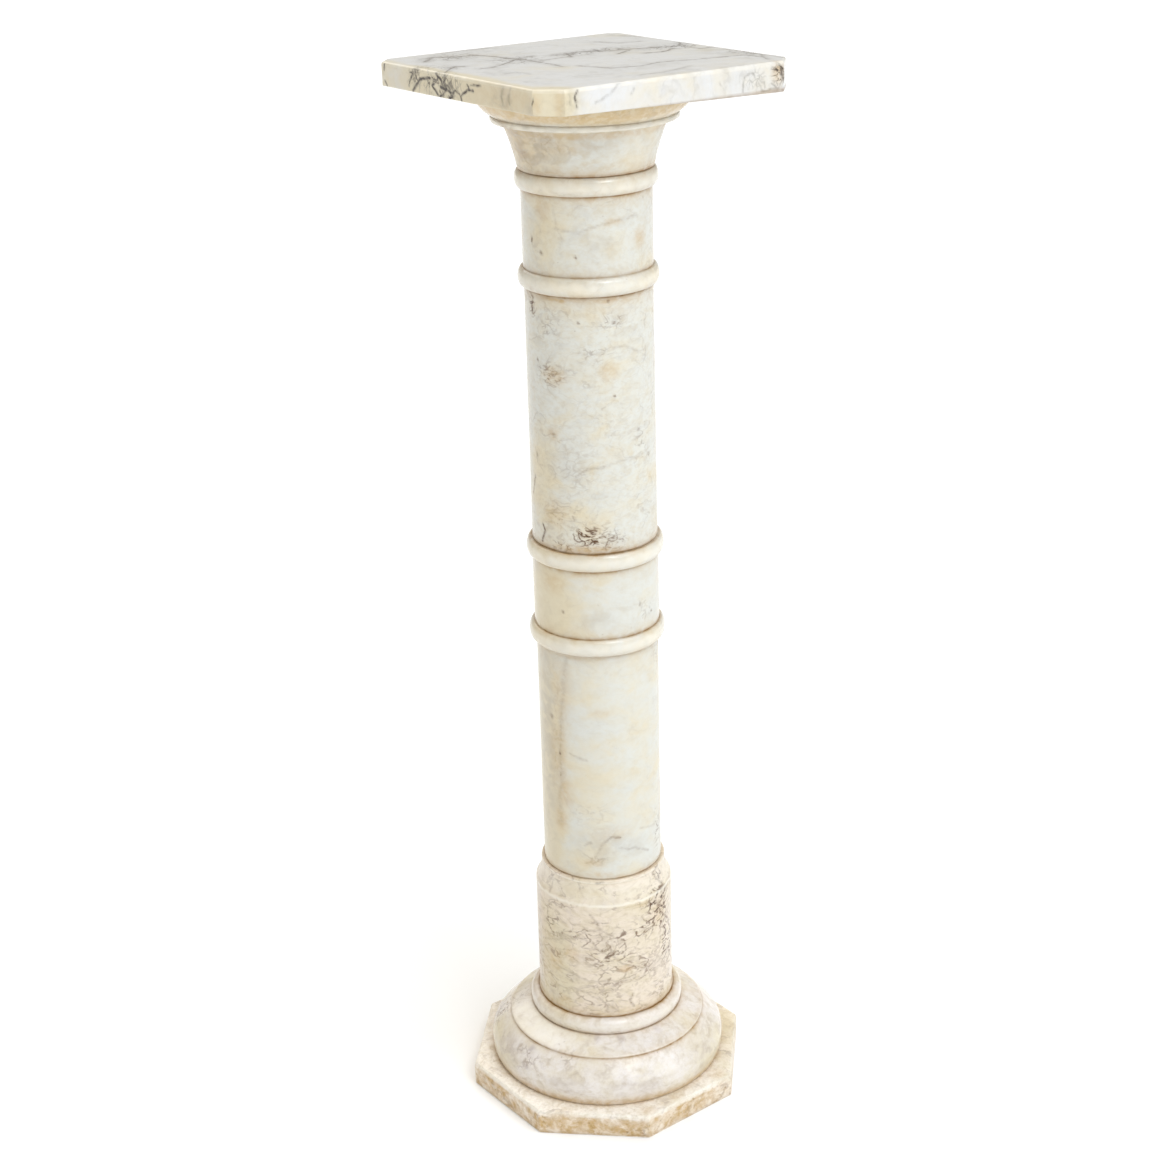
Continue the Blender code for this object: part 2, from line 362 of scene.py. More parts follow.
def lay_marks(marks, chart, wrap=None):
    """The painted fields of a stone: drawn veins, flecks, webs, stains, smoke, warm patches and worn patches. Some
    worn patches are painted highlights, and some stain, smoke and warm patches are painted shade. Drifts are soft
    drawn veins of smoke."""
    by_kind = {kind: [] for kind in ("fleck", "web", "stain", "smoke", "warm", "worn")}
    for kind, strength, reach, centre in marks.get("spots", []):
        by_kind[kind].append((strength, reach, centre))
    fields = {kind: spot_field(chart, spots, wrap) for kind, spots in by_kind.items()}
    drawn = stroke_field(chart, marks.get("strokes", []))
    fields["vein"] = np.maximum(drawn, fields.pop("fleck"))
    fields["smoke"] = np.maximum(fields["smoke"], stroke_field(chart, marks.get("drifts", [])))
    return fields


def on_rows(rows, columns, first, end):
    """One for each point of the rows from first up to end, and nought for the others."""
    level = np.zeros(rows)
    level[first:end] = 1
    return np.repeat(level, columns)


def grown(creases, reach_share, strength_share):
    """Creases with their reach and strength multiplied."""
    return [(radius, height, reach_share * reach, strength_share * strength)
            for radius, height, reach, strength in creases]


def turned_stone(node, outline, columns, reference, creases, marks, material, seed):
    """A stone turned on a lathe: an outline swept round the axis, never quite true, with its marks laid on."""
    outline = divide(soften(outline, EASING), PLAIN)
    rim_top = outline[0]
    rim_foot = outline[-1]
    outline = [(rim_top[0] * 0.5, rim_top[1]), (rim_top[0] - FINE, rim_top[1])] + outline
    outline += [(rim_foot[0] - FINE, rim_foot[1]), (rim_foot[0] * 0.5, rim_foot[1])]
    rows = len(outline)
    turns = np.arange(columns) / columns * math.tau - math.pi
    radius, height = np.array(outline).T
    angle = turns + FRONT
    points = np.stack([
        radius[:, None] * np.cos(angle)[None, :],
        radius[:, None] * np.sin(angle)[None, :],
        np.repeat(height[:, None], columns, axis=1),
    ], axis=2).reshape(-1, 3)
    normals = row_normals(points, rows, columns)
    sway = rough_field(points, 55, seed)
    grain = rough_field(points, 9, seed + 1)
    wobble = rough_field(points, 6, seed + 2)
    free = on_rows(rows, columns, 3, rows - 3)
    bend = np.gradient(np.arctan2(np.gradient(height), np.gradient(radius)))
    edge = np.repeat(np.clip(-bend * 2.5, 0, 1), columns) * free
    nick = edge * np.clip(grain - 0.25, 0, 1)
    points = points + normals * (free * (WAVE_MM * sway - NICK_MM * nick) * MM)[:, None]
    chart = np.stack([np.tile(turns, rows) * reference / MM, points[:, 2] / MM], axis=1)
    drift = np.stack([wobble, np.roll(wobble, columns * 7)], axis=1)
    fields = lay_marks(marks, chart + drift * WANDER_MM, math.tau * reference / MM)
    # The dark line in each crease is dirt and painted crease shade; the stain round it is iron stain
    fields["grime"] = crease_field(points, grown(creases, *CREASE_DIRT_AND_SHADE)) * (0.85 + 0.4 * sway + 0.3 * grain)
    halo = crease_field(points, grown(creases, *DIRT_HALO)) * (0.8 + 0.5 * sway + 0.4 * grain)
    fields["stain"] = np.maximum(fields["stain"], halo)
    # Paler convex edges: rubbed wear with painted edge highlights
    fields["worn"] = np.maximum(fields["worn"], edge * EDGE_WEAR_AND_HIGHLIGHT) * (0.85 + 0.5 * grain)
    place_stone(node, grid_mesh(node + "_stone", rows, columns, points, fields), material)


def drawn_in_plan(corners, inset, roundings, edge_steps, corner_steps):
    """A convex plan drawn in by inset, each corner rounded; every ring of a block has the same count of points."""
    count = len(corners)
    shifted = []
    for place in range(count):
        before, corner, after = corners[place - 1], corners[place], corners[(place + 1) % count]
        arrive = (corner - before).normalized()
        leave = (after - corner).normalized()
        inward = Vector((-arrive.y, arrive.x)) + Vector((-leave.y, leave.x))
        shifted.append(corner + inward * inset / (1 + arrive.dot(leave)))
    bends = []
    for place in range(count):
        before, corner, after = shifted[place - 1], shifted[place], shifted[(place + 1) % count]
        arrive = (corner - before).normalized()
        leave = (after - corner).normalized()
        cut = roundings[place] * math.tan(arrive.angle(leave) / 2)
        start = corner - arrive * cut
        end = corner + leave * cut
        shares = [step / corner_steps for step in range(corner_steps + 1)]
        bends.append([start.lerp(corner, share).lerp(corner.lerp(end, share), share) for share in shares])
    ring = []
    for place in range(count):
        ring += bends[place]
        start = bends[place][-1]
        end = bends[(place + 1) % count][0]
        steps = edge_steps[place]
        ring += [start.lerp(end, step / steps) for step in range(1, steps)]
    return np.array(ring)


def eased_wall(high, low, arris, lower, arris_rows, wall_rows):
    """A block's wall from its top's edge down, as (inset, height) pairs, rounded at its upper and lower edge."""
    wall = [(arris * (1 - math.sin(turn)), high - arris * (1 - math.cos(turn)))
            for turn in np.radians(np.linspace(0, 90, arris_rows))]
    wall += [(0.0, height) for height in np.linspace(high - arris, low + lower, wall_rows)[1:]]
    wall += [(lower * (1 - math.cos(turn)), low + lower * (1 - math.sin(turn)))
             for turn in np.radians(np.linspace(0, 90, 4))[1:]]
    return wall


def block_points(corners, roundings, wall, crown_steps, sole_steps, spacing):
    """Rows of points of an upright block: its top from the middle out, its wall, its underside; wall is a
    list of (inset, height) from the top down."""
    edge_steps = []
    for place, corner in enumerate(corners):
        side = (corners[(place + 1) % len(corners)] - corner).length
        edge_steps.append(max(2, round(side / spacing)))
    rings = []
    for inset, height in wall:
        eased = [max(rounding - 0.6 * inset, 0.35 * rounding) for rounding in roundings]
        ring = drawn_in_plan(corners, inset, eased, edge_steps, 5)
        rings.append(np.column_stack([ring, np.full(len(ring), height)]))
    top, sole = rings[0], rings[-1]
    crown_rows = [top * (share, share, 1) for share in np.linspace(0.02, 1, crown_steps, endpoint=False)]
    sole_rows = [sole * (share, share, 1) for share in np.linspace(1, 0.05, sole_steps + 1)[1:]]
    rows = crown_rows + rings + sole_rows
    return np.vstack(rows), len(rows), len(top), len(crown_rows), len(rings)


# Marble

def add(tree, kind, feeds, out=0, **settings):
    """Adds a node with its settings; feeds are (socket, value or another node's output) pairs."""
    node = tree.nodes.new(kind)
    for setting, value in settings.items():
        setattr(node, setting, value)
    for socket, value in feeds:
        if isinstance(value, bpy.types.NodeSocket):
            tree.links.new(value, node.inputs[socket])
        else:
            node.inputs[socket].default_value = value
    return node.outputs[out]


# What the polished stones share; sizes in mm
MARBLE = {
    "ground": "white",
    "block": (0.0, 0.0, 0.0),
    "lie": (0.15, 0.1, 0.5),
    "stretch": (1.0, 1.0, 1.35),
    "shiver": 6.0,
    "warmth": 0.40,
    "cloud_mm": 42,
    "mottle": 0.38,
    "mottle_mm": 13,
    "grain": 0.20,
    "grain_mm": 4.5,
    "haze": "smoke",
    "smoke": 0.2,
    "smoke_mm": 24,
    "threads": 0.35,
    "thread_mm": 48,
    "web": 0.10,
    "web_mm": 12,
    "finer": 0.35,
    "strand": 0.15,
    "vein": "brown",
    "blackness": 0.6,
    "flecks": 0.5,
    "fleck_mm": 12,
    "ochre": 0.2,
    "roughness": 0.24,
    "pitting": 0.0,
}


def marble(name, mix, colours):
    """Polished marble: a calcite ground in soft clouds, fine brown veins in webs, and old dirt and painted shade in
    the creases.
    """
    material = bpy.data.materials.new(name)
    material.use_nodes = True
    tree = material.node_tree
    shader = tree.nodes["Principled BSDF"]

    # The stone is cut from a block: the same pattern, another place and another lie for each stone
    place = add(tree, "ShaderNodeTexCoord", [], "Object")
    millimetres = add(tree, "ShaderNodeVectorMath", [(0, place), ("Scale", 1 / MM)], operation="SCALE")
    block = add(tree, "ShaderNodeMapping", [
        ("Vector", millimetres), ("Location", mix["block"]), ("Rotation", mix["lie"]), ("Scale", mix["stretch"]),
    ])

    # A wide sway and a small shiver bend the patterns, so that no cloud or vein runs true
    bent = [block]
    for size_mm, roughness, reach_mm in ((46, 0.55, 38), (7, 0.6, mix["shiver"])):
        bend = add(tree, "ShaderNodeTexNoise", [
            ("Vector", block), ("Scale", 1 / size_mm), ("Detail", 3.0), ("Roughness", roughness),
        ], "Color")
        bent.append(add(tree, "ShaderNodeVectorMath", [(0, bend), (1, (reach_mm,) * 3), (2, bent[-1])],
                        operation="MULTIPLY_ADD"))
    swayed, shivered = bent[1:]

    # Noise of each size that the stone shows: wide clouds, beige flakes a finger's width across, a sugary grain,
    # drifts of smoke, patches of rust, long threads, the slow ripples of hand polish, and pits
    noises = {}
    for pattern, vector, size_mm, detail, roughness in (
        ("cloud", swayed, mix["cloud_mm"], 4.0, 0.55),
        ("mottle", swayed, mix["mottle_mm"], 3.0, 0.5),
        ("grain", block, mix["grain_mm"], 3.0, 0.65),
        ("smoke", swayed, mix["smoke_mm"], 5.0, 0.6),
        ("rust", shivered, 8, 3.0, 0.6),
        ("thread", shivered, mix["thread_mm"], 4.0, 0.55),
        ("ripple", block, 16, 2.0, 0.5),
        ("pits", block, 2.5, 4.0, 0.7),
    ):
        noises[pattern] = add(tree, "ShaderNodeTexNoise", [
            ("Vector", vector), ("Scale", 1 / size_mm), ("Detail", detail), ("Roughness", roughness),
        ])

    # Cells: the cracks between clusters of crystals, in a coarse and a finer mesh, and the places of flecks
    cells = {}
    for pattern, scale, output, feature in (
        ("web", 1 / mix["web_mm"], "Distance", "DISTANCE_TO_EDGE"),
        ("finer_web", 2.3 / mix["web_mm"], "Distance", "DISTANCE_TO_EDGE"),
        ("fleck", 1 / mix["fleck_mm"], "Distance", "F1"),
        ("fleck_lot", 1 / mix["fleck_mm"], "Color", "F1"),
    ):
        cells[pattern] = add(tree, "ShaderNodeTexVoronoi", [("Vector", shivered), ("Scale", scale)], output,
                             feature=feature)
    marks = {mark: add(tree, "ShaderNodeAttribute", [], "Fac", attribute_name=mark)
             for mark in ("warm", "smoke", "stain", "web", "vein", "worn", "grime")}

    # Marked places are warmer, some of them painted warm shade on the stones' left sides, and a thread runs where
    # its noise crosses the middle value
    warm = add(tree, "ShaderNodeMath", [(0, noises["cloud"]), (1, mix["warmth"] - 0.5)], operation="ADD")
    warmer = add(tree, "ShaderNodeMath", [(0, marks["warm"]), (1, 0.45), (2, warm)], operation="MULTIPLY_ADD")
    off_thread = add(tree, "ShaderNodeMath", [(0, noises["thread"]), (1, 0.5)], operation="SUBTRACT")
    distance = add(tree, "ShaderNodeMath", [(0, off_thread)], operation="ABSOLUTE")

    # Where each pattern starts and where it is full, and its shares there
    shares = {}
    for ramp, ranges in (
        ("SMOOTHSTEP", (
            ("warmth", warmer, 0.30, 0.76, 0.0, 1.0),
            ("mottled", noises["mottle"], 0.42, 0.76, 0.0, mix["mottle"]),
            ("grained", noises["grain"], 0.40, 0.70, 0.0, mix["grain"]),
            ("drift", noises["smoke"], 0.50, 0.74, 0.0, mix["smoke"]),
            ("thinning", noises["mottle"], 0.30, 0.62, 0.25, 1.0),
            ("rusty", noises["rust"], 0.25, 0.65, 0.35, 1.0),
            ("faint", noises["cloud"], 0.60, 0.78, 0.0, mix["ochre"]),
            ("line", distance, 0.0, 0.030, 1.0, 0.0),
            ("broken", noises["smoke"], 0.40, 0.62, 0.0, mix["threads"]),
            ("strand", cells["web"], 0.02, mix["strand"], 1.0, 0.0),
            ("finer_strand", cells["finer_web"], 0.0, 0.22, mix["finer"], 0.0),
            ("patchy", noises["rust"], 0.40, 0.60, 0.0, 1.0),
            ("fleck_spot", cells["fleck"], 0.02, 0.14, 1.0, 0.0),
        )),
        ("LINEAR", (
            ("fleck_chance", cells["fleck_lot"], 0.62, 0.80, 0.0, mix["flecks"]),
            ("frayed", noises["grain"], 0.32, 0.58, 0.45, 1.1),
            ("uneven", noises["rust"], 0.2, 0.7, 0.65, 1.15),
        )),
    ):
        for share, value, start, full, first, last in ranges:
            shares[share] = add(tree, "ShaderNodeMapRange", [
                ("Value", value), ("From Min", start), ("From Max", full), ("To Min", first), ("To Max", last),
            ], interpolation_type=ramp)

    # Beige flakes over the grain; smoke in drifts; iron stain in the marked places and in a few faint clouds; some
    # marked smoke and stain is painted shade
    flaked = add(tree, "ShaderNodeMath", [(0, shares["mottled"]), (1, shares["grained"])], operation="ADD",
                 use_clamp=True)
    marked_drift = add(tree, "ShaderNodeMath", [(0, marks["smoke"]), (1, shares["thinning"])], operation="MULTIPLY")
    drifts = add(tree, "ShaderNodeMath", [(0, shares["drift"]), (1, marked_drift)], operation="MAXIMUM")
    marked_stain_and_shade = add(tree, "ShaderNodeMath", [(0, marks["stain"]), (1, shares["rusty"])], operation="MULTIPLY")
    stain_and_shade_cover = add(tree, "ShaderNodeMath", [(0, marked_stain_and_shade), (1, shares["faint"])], operation="MAXIMUM")

    # Long wandering threads, and the web's cracks filled brown
    threads = add(tree, "ShaderNodeMath", [(0, shares["line"]), (1, shares["broken"])], operation="MULTIPLY")
    strands = add(tree, "ShaderNodeMath", [(0, shares["strand"]), (1, shares["finer_strand"])], operation="MAXIMUM")
    web_cover = add(tree, "ShaderNodeMath", [(0, marks["web"]), (1, mix["web"])], operation="ADD")
    web_strength = add(tree, "ShaderNodeMath", [(0, web_cover), (1, shares["patchy"])], operation="MULTIPLY",
                       use_clamp=True)
    webs = add(tree, "ShaderNodeMath", [(0, strands), (1, web_strength)], operation="MULTIPLY")

    # Flecks of iron ore, and the marked veins: brown at their rims, near black at the heart
    flecks = add(tree, "ShaderNodeMath", [(0, shares["fleck_spot"]), (1, shares["fleck_chance"])],
                 operation="MULTIPLY")
    marked_vein = add(tree, "ShaderNodeMath", [(0, marks["vein"]), (1, shares["frayed"])], operation="MULTIPLY")
    veins = add(tree, "ShaderNodeMath", [(0, marked_vein), (1, flecks)], operation="MAXIMUM", use_clamp=True)
    fringe = add(tree, "ShaderNodeMath", [(0, veins), (1, 1.15)], operation="MULTIPLY")
    fine_lines = add(tree, "ShaderNodeMath", [(0, webs), (1, threads)], operation="MAXIMUM")
    lines = add(tree, "ShaderNodeMath", [(0, fine_lines), (1, fringe)], operation="MAXIMUM", use_clamp=True)
    dense_web = add(tree, "ShaderNodeMath", [(0, webs), (1, marks["web"])], operation="MULTIPLY")
    darkest = add(tree, "ShaderNodeMath", [(0, dense_web), (1, mix["blackness"])], operation="MULTIPLY")
    heart = add(tree, "ShaderNodeMath", [(0, veins), (1, veins)], operation="MULTIPLY")
    darks = add(tree, "ShaderNodeMath", [(0, heart), (1, darkest)], operation="MAXIMUM", use_clamp=True)
    grime_and_shade_cover = add(tree, "ShaderNodeMath", [(0, marks["grime"]), (1, shares["uneven"])], operation="MULTIPLY",
                use_clamp=True)

    # The colours in layers: the ground, what grew in it, then the paler rubbed edges and painted highlights, and
    # the dirt and painted shade in the creases
    tone = (*getattr(colours, mix["ground"]), 1)
    for cover, layer in (
        (shares["warmth"], "cream"), (flaked, "beige"), (drifts, mix["haze"]), (stain_and_shade_cover, "ochre"),
        (lines, mix["vein"]), (darks, "dark"), (marks["worn"], "worn"), (grime_and_shade_cover, "grime"),
    ):
        tone = add(tree, "ShaderNodeMix", [
            ("Factor", cover), ("A", tone), ("B", (*getattr(colours, layer), 1)),
        ], "Result", data_type="RGBA")
    tree.links.new(tone, shader.inputs["Base Color"])

    # Calcite: index about 1.5, waxed and rubbed to a soft gloss, duller where the crease dirt and painted shade lie
    shader.inputs["IOR"].default_value = 1.5
    gloss = add(tree, "ShaderNodeMath", [(0, grime_and_shade_cover), (1, 0.35), (2, mix["roughness"])], operation="MULTIPLY_ADD")
    tree.links.new(gloss, shader.inputs["Roughness"])

    # Hand polish leaves slow ripples; a rough stone keeps its pits and tool marks
    relief = add(tree, "ShaderNodeMath", [(0, noises["pits"]), (1, mix["pitting"]), (2, noises["ripple"])],
                 operation="MULTIPLY_ADD")
    bump = add(tree, "ShaderNodeBump", [("Height", relief), ("Distance", 0.25 * MM)])
    tree.links.new(bump, shader.inputs["Normal"])
    return material


# The nine stones: how each is cut from its block, and what marks it carries. Spots are (kind, strength, half width,
# half height, (turn in degrees, height in mm)); strokes are (half width in mm, strength, path).

MIXES = {
    "plinth": dict(MARBLE, ground="bone", block=(40, 900, 300), warmth=0.26, mottle=0.36, mottle_mm=8, smoke=0.1,
                   ochre=0.1, web=0.12, web_mm=7, flecks=0.3, fleck_mm=9, grain=0.25, grain_mm=3.0, roughness=0.5,
                   pitting=2.6),
    "base_torus": dict(MARBLE, ground="pale", haze="lilac", block=(310, 80, 720), warmth=0.38, mottle=0.42,
                       smoke=0.28, smoke_mm=13, web=0.08, web_mm=8, flecks=0.35, threads=0.12, roughness=0.14),
    "base_drum": dict(MARBLE, ground="rose", block=(120, 560, 90), stretch=(1, 1, 1.6), shiver=4.2, warmth=0.39,
                      mottle=0.45, mottle_mm=10, smoke=0.3, haze="lilac", web=0.12, web_mm=13, finer=0.14,
                      strand=0.15, threads=0.45, thread_mm=34, blackness=0.6),
    "lower_shaft": dict(MARBLE, block=(900, 240, 510), warmth=0.44, mottle=0.15, grain=0.1, smoke=0.08, web=0.02,
                        threads=0.06, flecks=0.1, ochre=0.0),
    "middle_collar": dict(MARBLE, block=(20, 410, 860), warmth=0.41, mottle=0.2, grain=0.12, smoke=0.1, web=0.02,
                          threads=0.06, flecks=0.15, ochre=0.05, roughness=0.14),
    "upper_shaft": dict(MARBLE, block=(610, 700, 150), stretch=(1, 1, 1.5), shiver=4.0, warmth=0.38, mottle=0.26,
                        smoke=0.2, web=0.08, web_mm=9, threads=0.22, flecks=0.25, blackness=0.6, ochre=0.1),
    "upper_collar": dict(MARBLE, block=(260, 130, 440), warmth=0.37, mottle=0.28, smoke=0.2, web=0.05,
                         threads=0.14, flecks=0.2, ochre=0.12, roughness=0.16),
    "capital": dict(MARBLE, block=(480, 350, 640), warmth=0.41, smoke=0.16, web=0.05, threads=0.18, flecks=0.15,
                    ochre=0.1),
    "top_slab": dict(MARBLE, ground="cool", haze="slate", vein="slate", block=(770, 190, 30), stretch=(1, 1, 1),
                     shiver=4.0, warmth=0.31, cloud_mm=60, mottle=0.10, grain=0.08, smoke=0.12, smoke_mm=38,
                     web=0.03, web_mm=7, blackness=1.6, threads=0.13, thread_mm=60, flecks=0.0, ochre=0.0,
                     roughness=0.2),
}

